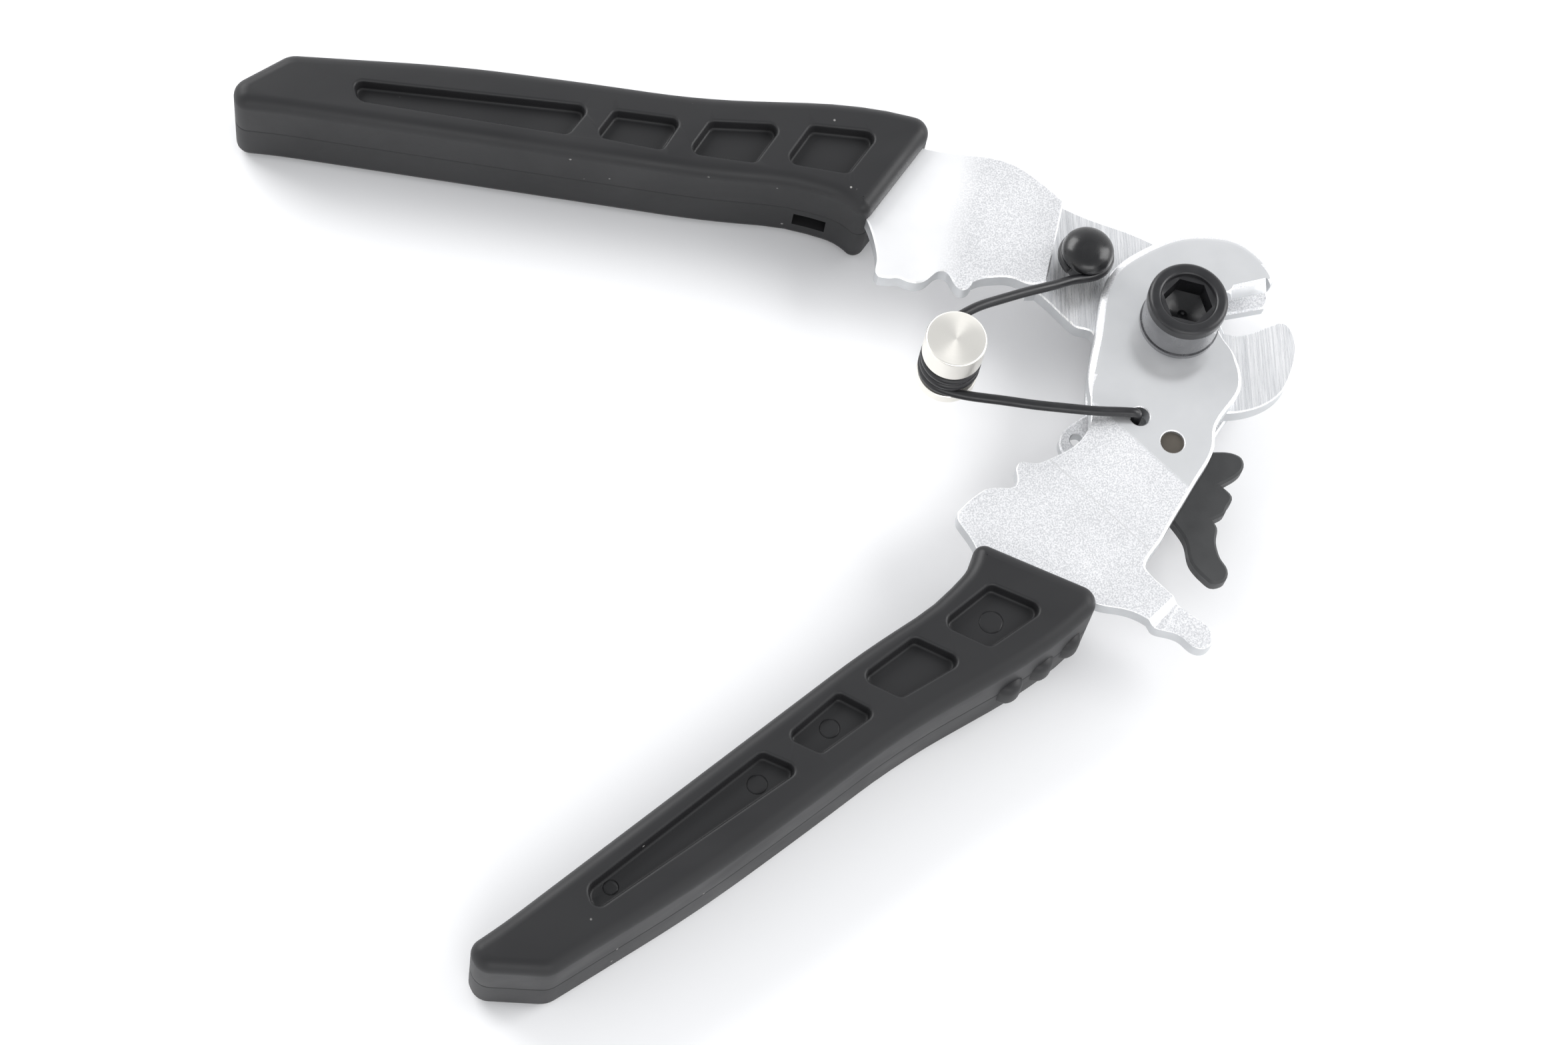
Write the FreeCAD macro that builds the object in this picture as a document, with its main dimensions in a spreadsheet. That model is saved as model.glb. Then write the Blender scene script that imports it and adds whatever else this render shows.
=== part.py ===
import FreeCAD, Part, Sketcher
import math
import os

from FreeCAD import Placement, Rotation, Vector

# Hand-operated bypass cutter: two gripped arms on one pivot screw, a return spring
# wound on a turned spool, and a lock lever between the two jaw plates.
#
# The origin is on the pivot axis, in the plane that the tool lies on. +Z points up
# along the pivot, and +X along the middle of the open jaws, away from the handles.
#
# Each arm is drawn in a frame of its own: x runs from the pivot to the end of the
# handle, y points away from the other arm, and z = 0 is the top face of the arms.

DIMENSIONS = {
    "arm_top": 13.9,
    "half_angle": 29.0,
    "lower_plate_thick": 3.0,
    "upper_plate_thick": 3.2,
    "blade_top": -3.08,
    "blade_thick": 3.2,
    "block_thick": 6.28,
    "back_plate_top": -6.36,
    "back_plate_thick": 2.24,
    "tab_drop": 1.5,
    "jaw_bevel_run": 1.33,
    "jaw_bevel_depth": 2.9,
    "pivot_hole_radius": 4.05,
    "sleeve_radius": 5.5,
    "blade_bore_radius": 5.55,
    "spring_hole_radius": 1.65,
    "spring_hole_along": 17.2,
    "spring_hole_out": 6.9,
    "lever_hole_radius": 1.95,
    "lever_bore_radius": 2.0,
    "lever_hole_along": 16.7,
    "lever_hole_out": 13.6,
    "lever_top": -3.35,
    "lever_thick": 2.5,
    "lever_washer_thick": 0.4,
    "lever_washer_radius": 3.6,
    "pin_recess": 0.7,
    "ear_hole_along": 24.8,
    "ear_hole_out": 1.5,
    "ear_hole_radius": 1.1,
    "screw_radius": 4.0,
    "screw_head_radius": 6.5,
    "screw_head_height": 8.0,
    "screw_head_round": 0.7,
    "socket_across_flats": 7.0,
    "socket_depth": 5.0,
    "washer_thick": 0.8,
    "washer_radius": 6.5,
    "nut_thick": 5.3,
    "nut_across_flats": 13.0,
    "post_along": 17.0,
    "post_out": 7.5,
    "post_neck_radius": 2.95,
    "post_neck_top": 2.35,
    "post_edge": 0.4,
    "post_dome_radius": 4.3,
    "post_dome_height": 2.85,
    "post_shank_radius": 1.9,
    "grip_top": 3.5,
    "grip_thick": 17.4,
    "grip_round": 2.2,
    "pocket_depth": 2.2,
    "window_pocket_depth": 5.5,
    "window_top": -6.7,
    "window_height": 3.3,
    "nub_top": -3.0,
    "nub_height": 6.0,
    "nub_radius": 2.4,
    "wire_radius": 0.8,
    "coil_radius": 4.15,
    "coil_pitch": 1.75,
    "coil_start": 3.3,
    "coil_centre_back": 40.1,
    "lower_half_turns": 1.2,
    "half_gap": 4.0,
    "leg_end_height": 1.15,
    "loop_radius": 4.15,
    "loop_angle": 285.0,
    "wire_end": -2.9,
    "spool_bottom": 0.3,
    "spool_base_top": 2.35,
    "spool_cap_bottom": 8.4,
    "spool_top": 13.3,
    "spool_radius": 4.9,
    "spool_stem_radius": 3.05,
    "spool_edge": 0.25,
    "spool_spigot_radius": 1.8,
}

GRIP_POCKETS = {
    "long": [(100.9, 11.6), (103.3, 6.1), (136.9, 3.5), (138.6, 4.4), (137.6, 6.3)],
    "near_long": [(86.2, 13.4), (88.1, 7.4), (98.8, 6.9), (97.0, 12.1)],
    "middle": [(70.0, 16.9), (72.8, 9.2), (83.6, 7.9), (81.5, 14.3)],
    "head": [(54.5, 19.6), (57.8, 11.3), (68.0, 10.4), (65.4, 17.9)],
}
GRIP_NUB_CENTRES = [(52.3, 23.8), (58.3, 23.4), (64.6, 22.6)]
GRIP_WINDOW = [(59.5, 5.0), (65.0, 5.0), (65.0, 13.0), (59.5, 13.0)]
STRAIGHT = "straight"
CURVED = "curved"

# Corners of the grip's outline with the radius that rounds each one. A corner with no
# radius is rounded as far as its two sides allow, which makes the long gentle bends.
GRIP_CORNERS = [
    (45.2, 24.9, 3.0), (54.0, 25.1, None), (63.0, 23.9, None), (84.0, 18.8, None), (103.0, 16.8, None),
    (124.0, 14.2, None), (150.6, 8.8, 4.0), (157.9, 0.9, 3.2), (156.4, -3.0, 2.6), (150.0, -2.0, None),
    (80.0, 4.7, None), (66.0, 7.1, None), (57.5, 6.6, None), (53.4, 4.1, 2.3),
]
BEND_SHARE = 0.45
BEVEL_OVERRUN = 0.6
MITRED_KINKS = 1
DOME_STEPS = 8

# Outlines are lists of stretches. Each stretch starts where the one before it ends,
# and the last one ends at the first point of the outline.
LOWER_PLATE_OUTLINE = [
    (STRAIGHT, [(-11.2, 2.6), (-16.45, 5.6)]),
    (CURVED, [(-17.6, 5.6), (-18.9, 4.0), (-19.8, 0.0), (-18.5, -5.0), (-14.0, -9.8), (-8.0, -12.6), (-1.0, -14.0),
              (4.0, -12.9), (10.0, -9.0), (16.0, -5.1), (20.5, -0.8)]),
    (CURVED, [(24.0, 2.4), (28.0, 3.25), (32.0, 2.5), (35.0, 1.5)]),
    (CURVED, [(36.4, 0.0), (37.6, -0.9), (38.8, -0.3), (40.2, 1.2), (41.3, 1.4), (43.5, -0.5), (45.0, -1.5)]),
    (STRAIGHT, [(51.0, -1.7)]),
    (CURVED, [(52.3, 0.5), (54.5, 6.4), (58.0, 9.0)]),
    (STRAIGHT, [(98.0, 7.6), (98.0, 12.4), (60.0, 19.0), (47.6, 21.6)]),
    (CURVED, [(46.0, 25.0), (43.5, 28.8), (42.3, 32.9), (40.3, 37.0), (39.9, 39.8), (38.0, 41.0), (36.2, 40.2),
              (35.9, 37.6), (36.6, 31.1)]),
    (CURVED, [(36.5, 27.0), (35.0, 24.6), (31.0, 23.9), (22.0, 21.6), (14.0, 19.6), (10.0, 17.0), (5.0, 15.7),
              (1.5, 14.9), (-1.5, 12.0), (-3.2, 7.5), (-4.2, 5.0), (-6.3, 1.2), (-8.4, 0.7), (-11.2, 2.6)]),
]
TAB_ZONE = [(30.0, 31.6), (46.0, 31.6), (46.0, 43.0), (30.0, 43.0)]

BACK_PLATE_OUTLINE = [
    (STRAIGHT, [(-10.8, 3.3), (-15.96, 6.53)]),
    (CURVED, [(-17.6, 6.0), (-18.9, 3.4), (-19.3, -1.0), (-17.6, -6.0), (-13.6, -9.6), (-7.6, -12.2), (-1.0, -13.5),
              (4.0, -12.4), (10.0, -8.5), (16.0, -4.3), (20.4, -0.6)]),
    (CURVED, [(23.4, -1.1), (26.2, -0.9), (28.0, 0.9), (28.2, 3.4)]),
    (STRAIGHT, [(21.5, 15.5)]),
    (CURVED, [(18.6, 17.8), (14.0, 18.3), (7.6, 16.6), (4.1, 15.9), (1.2, 15.2), (-1.6, 12.2), (-3.4, 7.7),
              (-4.6, 5.2), (-6.3, 2.2), (-8.4, 1.8), (-10.8, 3.3)]),
]

UPPER_PLATE_OUTLINE = [
    (STRAIGHT, [(22.3, 17.2), (22.3, 1.6)]),
    (CURVED, [(25.0, 0.7), (28.5, 1.0), (31.5, 0.2), (34.0, -1.4)]),
    (CURVED, [(34.5, -2.8), (35.5, -3.3), (37.0, -2.5), (38.3, -0.9), (39.4, -0.7), (42.0, -3.6), (43.5, -4.1)]),
    (STRAIGHT, [(49.0, -4.5)]),
    (CURVED, [(49.9, -2.5), (53.5, 5.8), (58.0, 9.0)]),
    (STRAIGHT, [(98.0, 7.6), (98.0, 12.4), (60.0, 19.0), (47.0, 20.7)]),
    (CURVED, [(40.0, 21.5), (34.0, 22.2), (28.0, 20.6), (22.3, 17.2)]),
]
UPPER_BLOCK_OUTLINE = [
    (STRAIGHT, [(22.3, 17.2), (22.3, 1.6)]),
    (CURVED, [(23.6, 1.0), (25.0, 0.7)]),
    (STRAIGHT, [(25.0, 18.8)]),
    (CURVED, [(23.6, 18.0), (22.3, 17.2)]),
]
BLADE_OUTLINE = [
    (CURVED, [(22.3, 17.9), (18.0, 17.0), (10.0, 16.0), (6.3, 15.2), (0.0, 12.5), (-5.5, 6.0), (-8.0, 1.9)]),
    (CURVED, [(-10.0, 2.0), (-13.0, 3.6), (-16.3, 6.2)]),
    (CURVED, [(-17.6, 6.3), (-19.3, 4.3), (-20.1, 0.0), (-19.0, -6.0), (-15.5, -10.1), (-11.3, -12.2), (-5.0, -12.7),
              (3.0, -10.8), (9.0, -7.4), (13.4, -3.5)]),
    (CURVED, [(16.0, -3.3), (19.0, -1.6), (22.3, 0.9)]),
    (STRAIGHT, [(22.3, 17.9)]),
]

LEVER_OUTLINE = [
    (CURVED, [(11.4, 18.7), (9.3, 21.2), (8.9, 22.9), (10.3, 24.1), (12.2, 24.1), (15.0, 23.4)]),
    (CURVED, [(15.0, 25.6), (16.0, 26.6), (18.3, 27.2), (20.6, 26.6)]),
    (CURVED, [(21.4, 28.4), (24.0, 30.8), (25.1, 33.6), (26.7, 35.0), (28.4, 34.4), (29.1, 32.5), (28.6, 29.0),
              (26.4, 25.8), (25.6, 22.5)]),
    (CURVED, [(24.4, 18.0), (22.4, 12.5), (22.4, 7.0), (21.6, 5.2), (19.8, 5.0), (18.6, 7.2), (14.6, 9.4),
              (11.8, 13.4), (11.4, 18.7)]),
]

doc = FreeCAD.newDocument("BypassCutter")
sheet = doc.addObject("Spreadsheet::Sheet", "Dims")
for row, (alias, value) in enumerate(DIMENSIONS.items(), start=1):
    sheet.set("A%d" % row, alias)
    sheet.set("B%d" % row, str(value))
    sheet.setAlias("B%d" % row, alias)
doc.recompute()

NODES = []


def dim(alias):
    """A driving dimension, read back from the sheet."""
    return float(getattr(sheet, alias))


# ---------------------------------------------------------------- frames

ARM_HEIGHT = Vector(0, 0, dim("arm_top"))
LOWER_FRAME = Placement(ARM_HEIGHT, Rotation(Vector(0, 0, 1), dim("half_angle") - 180))
UPPER_FRAME = Placement(ARM_HEIGHT, Rotation(Vector(0, 0, 1), 180 - dim("half_angle")))
ROW_FRAME = Placement(ARM_HEIGHT, Rotation())
UPPER = {"frame": UPPER_FRAME, "outward": -1}
LOWER = {"frame": LOWER_FRAME, "outward": 1}
MIDDLE = {"frame": ROW_FRAME, "outward": 1}


def flat(point, arm):
    """A point of an arm's outline as a vector in that arm's local frame."""
    along, out = point
    return Vector(along, out * arm["outward"], 0)


def in_row(along, out, arm):
    """The same point, placed in the object's own frame at the height of the arms' top."""
    return arm["frame"].multVec(flat((along, out), arm))


# ---------------------------------------------------------------- sketches and features

def new_body(label, arm):
    body = doc.addObject("PartDesign::Body", label)
    body.Label = label
    body.Placement = arm["frame"]
    return body


def new_sketch(body, name, height, role="XY_Plane"):
    """A sketch on one of the body's own origin planes, raised to a height given as an expression."""
    plane = [item for item in body.Origin.OriginFeatures if item.Role == role][0]
    drawing = body.newObject("Sketcher::SketchObject", name)
    drawing.AttachmentSupport = [(plane, "")]
    drawing.MapMode = "FlatFace"
    if height:
        drawing.setExpression("AttachmentOffset.Base.z", height)
    return drawing


def smooth_curve(points):
    curve = Part.BSplineCurve()
    curve.interpolate(points)
    return curve


def draw_outline(drawing, outline, arm):
    last = flat(outline[-1][1][-1], arm)
    for index, (kind, points) in enumerate(outline):
        run = [flat(point, arm) for point in points]
        if index or (run[0] - last).Length > 1e-6:
            run = [last] + run
        if kind == CURVED:
            drawing.addGeometry(smooth_curve(run))
        else:
            for start, end in zip(run, run[1:]):
                drawing.addGeometry(Part.LineSegment(start, end))
        last = run[-1]


def draw_rounded(drawing, corners, arm):
    """A closed outline of straight sides joined by tangent arcs."""
    points = [flat(corner[:2], arm) for corner in corners]
    bends = []
    for index, (point, corner) in enumerate(zip(points, corners)):
        before = point - points[index - 1]
        after = points[(index + 1) % len(points)] - point
        half_turn = before.getAngle(after) / 2
        reach = BEND_SHARE * min(before.Length, after.Length)
        if corner[2] is not None:
            reach = min(reach, corner[2] * math.tan(half_turn))
        start = point - before.normalize() * reach
        end = point + after.normalize() * reach
        inward = (start + end) * 0.5 - point
        radius = reach / math.tan(half_turn)
        middle = point + inward.normalize() * (radius / math.cos(half_turn) - radius)
        bends.append((start, middle, end))
    for index, (start, middle, end) in enumerate(bends):
        drawing.addGeometry(Part.LineSegment(bends[index - 1][2], start))
        drawing.addGeometry(Part.Arc(start, middle, end))


def draw_polygon(drawing, points, arm):
    corners = [flat(point, arm) for point in points]
    for start, end in zip(corners, corners[1:] + corners[:1]):
        drawing.addGeometry(Part.LineSegment(start, end))


def draw_circle(drawing, along, out, radius, arm):
    """A circle whose centre and radius follow sheet cells, named by their aliases."""
    centre = flat((dim(along) if along else 0, dim(out) if out else 0), arm)
    circle = drawing.addGeometry(Part.Circle(centre, Vector(0, 0, 1), dim(radius)))
    size = drawing.addConstraint(Sketcher.Constraint("Radius", circle, dim(radius)))
    drawing.setExpression("Constraints[%d]" % size, "Dims." + radius)
    return circle


def pad(body, name, drawing, length):
    """Material from the sketch plane downwards."""
    feature = body.newObject("PartDesign::Pad", name)
    feature.Profile = drawing
    feature.Reversed = True
    feature.setExpression("Length", length)
    doc.recompute()
    return feature


def pocket(body, name, drawing, length, upward=False):
    """Material taken away from the sketch plane downwards, or upwards."""
    before = body.Shape.Volume
    feature = body.newObject("PartDesign::Pocket", name)
    feature.Profile = drawing
    feature.Reversed = upward
    feature.setExpression("Length", length)
    doc.recompute()
    if body.Shape.Volume >= before - 1e-3:
        raise RuntimeError(name + " cuts nothing")
    return feature


def drill(body, name, height, along, out, radius, depth, arm):
    drawing = new_sketch(body, name + "Sketch", height)
    draw_circle(drawing, along, out, radius, arm)
    return pocket(body, name, drawing, depth)


def edges_where(shape, test):
    return ["Edge%d" % number for number, edge in enumerate(shape.Edges, start=1) if test(edge)]


def at_height(height):
    return lambda edge: abs(edge.BoundBox.ZMin - height) < 1e-4 and abs(edge.BoundBox.ZMax - height) < 1e-4


def revolve(body, name, points):
    """A turned solid: points are (radius, height) pairs round half of its section."""
    drawing = new_sketch(body, name + "Sketch", None, "XZ_Plane")
    corners = [Vector(radius, height, 0) for radius, height in points]
    for start, end in zip(corners, corners[1:] + corners[:1]):
        drawing.addGeometry(Part.LineSegment(start, end))
    feature = body.newObject("PartDesign::Revolution", name)
    feature.Profile = drawing
    feature.ReferenceAxis = (drawing, ["V_Axis"])
    feature.Angle = 360
    doc.recompute()
    return feature


def keep(node):
    NODES.append(node)
    return node


# ---------------------------------------------------------------- arms and jaw plates

def lower_arm_plate():
    body = new_body("lower_arm_plate", LOWER)
    drawing = new_sketch(body, "LowerPlateSketch", None)
    draw_outline(drawing, LOWER_PLATE_OUTLINE, LOWER)
    pad(body, "LowerPlatePad", drawing, "Dims.lower_plate_thick")
    drill(body, "LowerPivotHole", None, None, None, "pivot_hole_radius", "Dims.lower_plate_thick", LOWER)
    drill(body, "SpringHole", None, "spring_hole_along", "spring_hole_out", "spring_hole_radius",
          "Dims.lower_plate_thick", LOWER)
    drill(body, "LeverHole", None, "lever_hole_along", "lever_hole_out", "lever_hole_radius",
          "Dims.lower_plate_thick", LOWER)
    tab = new_sketch(body, "TabSketch", None)
    draw_polygon(tab, TAB_ZONE, LOWER)
    pocket(body, "TabStep", tab, "Dims.tab_drop")
    grind_jaw(body, "FixedJawBevel", LOWER_PLATE_OUTLINE[0][1])
    return keep(body)


def grind_jaw(body, name, ends):
    """Grinds a slope along the straight jaw edge, widest at the top face."""
    start = Vector(*ends[0], 0)
    end = Vector(*ends[1], 0)
    along = (end - start).normalize()
    up = Vector(0, 0, 1)
    outward = along.cross(up)
    wedge = body.newObject("PartDesign::SubtractiveWedge", name)
    wedge.Placement = Placement(start, Rotation(along, up, outward, "XYZ"))
    wedge.Xmin = wedge.X2min = -BEVEL_OVERRUN
    wedge.Xmax = wedge.X2max = (end - start).Length + BEVEL_OVERRUN
    wedge.setExpression("Ymin", "-Dims.jaw_bevel_depth")
    wedge.Ymax = 0
    wedge.Zmin = 0
    wedge.setExpression("Z2min", "-Dims.jaw_bevel_run")
    wedge.Zmax = wedge.Z2max = BEVEL_OVERRUN
    doc.recompute()
    return wedge


def back_plate():
    body = new_body("back_plate", LOWER)
    top = "Dims.back_plate_top"
    thick = "Dims.back_plate_thick"
    drawing = new_sketch(body, "BackPlateSketch", top)
    draw_outline(drawing, BACK_PLATE_OUTLINE, LOWER)
    pad(body, "BackPlatePad", drawing, thick)
    drill(body, "BackPivotHole", top, None, None, "pivot_hole_radius", thick, LOWER)
    drill(body, "BackLeverHole", top, "lever_hole_along", "lever_hole_out", "lever_hole_radius", thick, LOWER)
    drill(body, "BackEarHole", top, "ear_hole_along", "ear_hole_out", "ear_hole_radius", thick, LOWER)
    return keep(body)


def upper_arm_plate():
    body = new_body("upper_arm_plate", UPPER)
    plate = new_sketch(body, "UpperPlateSketch", None)
    draw_outline(plate, UPPER_PLATE_OUTLINE, UPPER)
    pad(body, "UpperPlatePad", plate, "Dims.upper_plate_thick")
    block = new_sketch(body, "StepBlockSketch", None)
    draw_outline(block, UPPER_BLOCK_OUTLINE, UPPER)
    pad(body, "StepBlockPad", block, "Dims.block_thick")
    blade = new_sketch(body, "BladeSketch", "Dims.blade_top")
    draw_outline(blade, BLADE_OUTLINE, UPPER)
    pad(body, "BladePad", blade, "Dims.blade_thick")
    drill(body, "BladeBore", "Dims.blade_top", None, None, "blade_bore_radius", "Dims.blade_thick", UPPER)
    drill(body, "PostHole", "Dims.blade_top", "post_along", "post_out", "post_shank_radius",
          "Dims.blade_thick", UPPER)
    return keep(body)


def lock_lever():
    body = new_body("lock_lever", LOWER)
    top = "Dims.lever_top"
    drawing = new_sketch(body, "LeverSketch", top)
    draw_outline(drawing, LEVER_OUTLINE, LOWER)
    pad(body, "LeverPad", drawing, "Dims.lever_thick")
    drill(body, "LeverBore", top, "lever_hole_along", "lever_hole_out", "lever_bore_radius",
          "Dims.lever_thick", LOWER)
    return keep(body)


# ---------------------------------------------------------------- grips

def grip(label, plate, arm):
    """A moulded grip: rounded body, pockets on both faces, side window and thumb nubs."""
    moulding = new_body(label + "_moulding", arm)
    drawing = new_sketch(moulding, label + "Sketch", "Dims.grip_top")
    draw_rounded(drawing, GRIP_CORNERS, arm)
    pad(moulding, label + "Pad", drawing, "Dims.grip_thick")
    top = dim("arm_top") + dim("grip_top")
    bottom = top - dim("grip_thick")
    rounding = moulding.newObject("PartDesign::Fillet", label + "Rounding")
    base = moulding.Group[-2]
    rims = edges_where(moulding.Shape, lambda edge: at_height(top)(edge) or at_height(bottom)(edge))
    rounding.Base = (base, rims)
    rounding.setExpression("Radius", "Dims.grip_round")
    doc.recompute()
    for name, corners in GRIP_POCKETS.items():
        upper_side = new_sketch(moulding, label + name + "Top", "Dims.grip_top")
        draw_polygon(upper_side, corners, arm)
        pocket(moulding, label + name + "TopPocket", upper_side, "Dims.pocket_depth")
        under_side = new_sketch(moulding, label + name + "Under", "Dims.grip_top - Dims.grip_thick")
        draw_polygon(under_side, corners, arm)
        depth = "Dims.window_pocket_depth" if name == "head" else "Dims.pocket_depth"
        pocket(moulding, label + name + "UnderPocket", under_side, depth, upward=True)
    window = new_sketch(moulding, label + "WindowSketch", "Dims.window_top")
    draw_polygon(window, GRIP_WINDOW, arm)
    pocket(moulding, label + "Window", window, "Dims.window_height")
    nubs = new_sketch(moulding, label + "NubSketch", "Dims.nub_top")
    for centre in GRIP_NUB_CENTRES:
        nubs.addGeometry(Part.Circle(flat(centre, arm), Vector(0, 0, 1), dim("nub_radius")))
    pad(moulding, label + "Nubs", nubs, "Dims.nub_height")
    cut = doc.addObject("Part::Cut", label)
    cut.Label = label
    cut.Base = moulding
    cut.Tool = plate
    doc.recompute()
    return keep(cut)


# ---------------------------------------------------------------- pivot and small turned pieces

def turned(label, arm, along, out, profile):
    """A turned piece on a vertical axis at a point of an arm."""
    body = new_body(label, arm)
    body.Placement = Placement(in_row(along, out, arm), Rotation())
    revolve(body, label + "Turn", profile)
    return body


def tube_profile(inner, outer, bottom, top):
    return [(inner, bottom), (outer, bottom), (outer, top), (inner, top)]


def hexagon(across_flats):
    corner = across_flats / math.sqrt(3)
    return [(corner * math.cos(math.radians(60 * turn)), corner * math.sin(math.radians(60 * turn)))
            for turn in range(6)]


def pivot_screw():
    head_bottom = dim("washer_thick")
    head_top = head_bottom + dim("screw_head_height")
    end = dim("back_plate_top") - dim("back_plate_thick") - dim("nut_thick")
    radius = dim("screw_radius")
    head = dim("screw_head_radius")
    rim = dim("screw_head_round")
    body = turned("pivot_screw", LOWER, 0, 0, [
        (0, end), (radius, end), (radius, head_bottom), (head, head_bottom),
        (head, head_top - rim), (head - rim, head_top), (0, head_top)])
    socket = new_sketch(body, "SocketSketch", "Dims.washer_thick + Dims.screw_head_height")
    draw_polygon(socket, hexagon(dim("socket_across_flats")), MIDDLE)
    pocket(body, "Socket", socket, "Dims.socket_depth")
    return keep(body)


def pivot_nut():
    body = new_body("pivot_nut", MIDDLE)
    drawing = new_sketch(body, "NutSketch", "Dims.back_plate_top - Dims.back_plate_thick")
    draw_polygon(drawing, hexagon(dim("nut_across_flats")), MIDDLE)
    pad(body, "NutPad", drawing, "Dims.nut_thick")
    drill(body, "NutBore", "Dims.back_plate_top - Dims.back_plate_thick", None, None, "screw_radius",
          "Dims.nut_thick", MIDDLE)
    return keep(body)


def small_turned_pieces():
    plate_bottom = -dim("lower_plate_thick")
    back_top = dim("back_plate_top")
    back_bottom = back_top - dim("back_plate_thick")
    shaft = dim("screw_radius")
    keep(turned("pivot_washer", LOWER, 0, 0, tube_profile(shaft, dim("washer_radius"), 0, dim("washer_thick"))))
    keep(turned("pivot_sleeve", LOWER, 0, 0, tube_profile(shaft, dim("sleeve_radius"), back_top, plate_bottom)))
    pin = dim("lever_hole_radius")
    hole = (dim("lever_hole_along"), dim("lever_hole_out"))
    keep(turned("lever_pin", LOWER, *hole, [(0, back_bottom), (pin, back_bottom), (pin, -dim("pin_recess")),
                                            (0, -dim("pin_recess"))]))
    keep(turned("lever_washer", LOWER, *hole, tube_profile(
        pin, dim("lever_washer_radius"), back_top, back_top + dim("lever_washer_thick"))))


def spring_post():
    """The post that holds the spring's loop: a neck under a low domed head."""
    blade_top = dim("blade_top")
    shank_end = blade_top - dim("blade_thick")
    shank = dim("post_shank_radius")
    neck = dim("post_neck_radius")
    neck_top = dim("post_neck_top")
    dome = dim("post_dome_radius")
    edge = dim("post_edge")
    shoulder = neck_top + edge
    top = neck_top + dim("post_dome_height")
    crown = []
    for step in range(DOME_STEPS):
        angle = math.pi / 2 * step / DOME_STEPS
        crown.append((dome * math.cos(angle), shoulder + (top - shoulder) * math.sin(angle)))
    profile = [(0, shank_end), (shank, shank_end), (shank, blade_top), (neck, blade_top), (neck, neck_top),
               (dome - edge, neck_top)] + crown + [(0, top)]
    return keep(turned("spring_post", UPPER, dim("post_along"), dim("post_out"), profile))


# ---------------------------------------------------------------- spring and spool

def heading(angle):
    return Vector(math.cos(angle), math.sin(angle), 0)


def angle_of(vector):
    return math.atan2(vector.y, vector.x)


def coil_turns(centre, start_angle, turns, bottom):
    """The centre line of part of the coil, which climbs clockwise as seen from above."""
    pitch = dim("coil_pitch")
    helix = Part.makeHelix(pitch, pitch * turns, dim("coil_radius"), 0, True)
    place = centre + Vector(0, 0, bottom)
    helix.Placement = Placement(place, Rotation(Vector(0, 0, 1), math.degrees(start_angle)))
    return helix.Edges


def bent_wire(label, edges, start_way):
    """One piece of round spring wire along a centre line, mitred where it kinks."""
    centre_line = Part.Wire(edges)
    start = centre_line.OrderedVertexes[0].Point
    section = Part.Wire([Part.makeCircle(dim("wire_radius"), start, start_way)])
    wire = doc.addObject("Part::Feature", label)
    wire.Label = label
    wire.Shape = centre_line.makePipeShell([section], True, True, MITRED_KINKS)
    return keep(wire)


def spring():
    """The return spring: one wire, in two halves that meet inside the coil."""
    centre = Vector(-dim("coil_centre_back"), 0, dim("arm_top"))
    hole = in_row(dim("spring_hole_along"), dim("spring_hole_out"), LOWER)
    post = in_row(dim("post_along"), dim("post_out"), UPPER)
    radius = dim("coil_radius")
    pitch = dim("coil_pitch")
    start_height = Vector(0, 0, dim("coil_start"))
    leg_height = Vector(0, 0, dim("leg_end_height"))

    # The lower leg touches the coil with the coil's axis on the right of the way in.
    to_coil = centre - hole
    way_in = angle_of(to_coil) + math.asin(radius / to_coil.Length)
    lower_angle = way_in + math.pi / 2
    lower_touch = centre + heading(lower_angle) * radius + start_height
    hole_top = hole + leg_height
    hole_end = hole + Vector(0, 0, dim("wire_end"))
    lower_turns = dim("lower_half_turns")
    lower_edges = [Part.makeLine(hole_end, hole_top), Part.makeLine(hole_top, lower_touch)]
    lower_edges += coil_turns(centre, lower_angle, lower_turns, dim("coil_start"))
    bent_wire("spring_lower_leg", lower_edges, hole_top - hole_end)

    # The upper leg leaves the coil on one side and passes the post on the other.
    loop = dim("loop_radius")
    to_post = post - centre
    way_out = angle_of(to_post) - math.asin((radius + loop) / to_post.Length)
    upper_angle = way_out + math.pi / 2
    wrap = (lower_angle - upper_angle) % (2 * math.pi) + 4 * math.pi
    gap = math.radians(dim("half_gap"))
    upper_start = lower_angle - lower_turns * 2 * math.pi - gap
    upper_turns = (wrap - gap) / (2 * math.pi) - lower_turns
    upper_bottom = dim("coil_start") + pitch * (lower_turns + gap / (2 * math.pi))
    upper_top = upper_bottom + pitch * upper_turns
    upper_touch = centre + heading(upper_angle) * radius + Vector(0, 0, upper_top)
    loop_start = way_out - math.pi / 2
    loop_touch = post + heading(loop_start) * loop + leg_height
    loop_end = loop_start + math.radians(dim("loop_angle"))
    loop_middle = (loop_start + loop_end) / 2
    round_post = Part.Arc(loop_touch, post + heading(loop_middle) * loop + leg_height,
                          post + heading(loop_end) * loop + leg_height)
    upper_edges = coil_turns(centre, upper_start, upper_turns, upper_bottom)
    upper_edges += [Part.makeLine(upper_touch, loop_touch), round_post.toShape()]
    bent_wire("spring_upper_leg", upper_edges, heading(upper_start - math.pi / 2))


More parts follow.
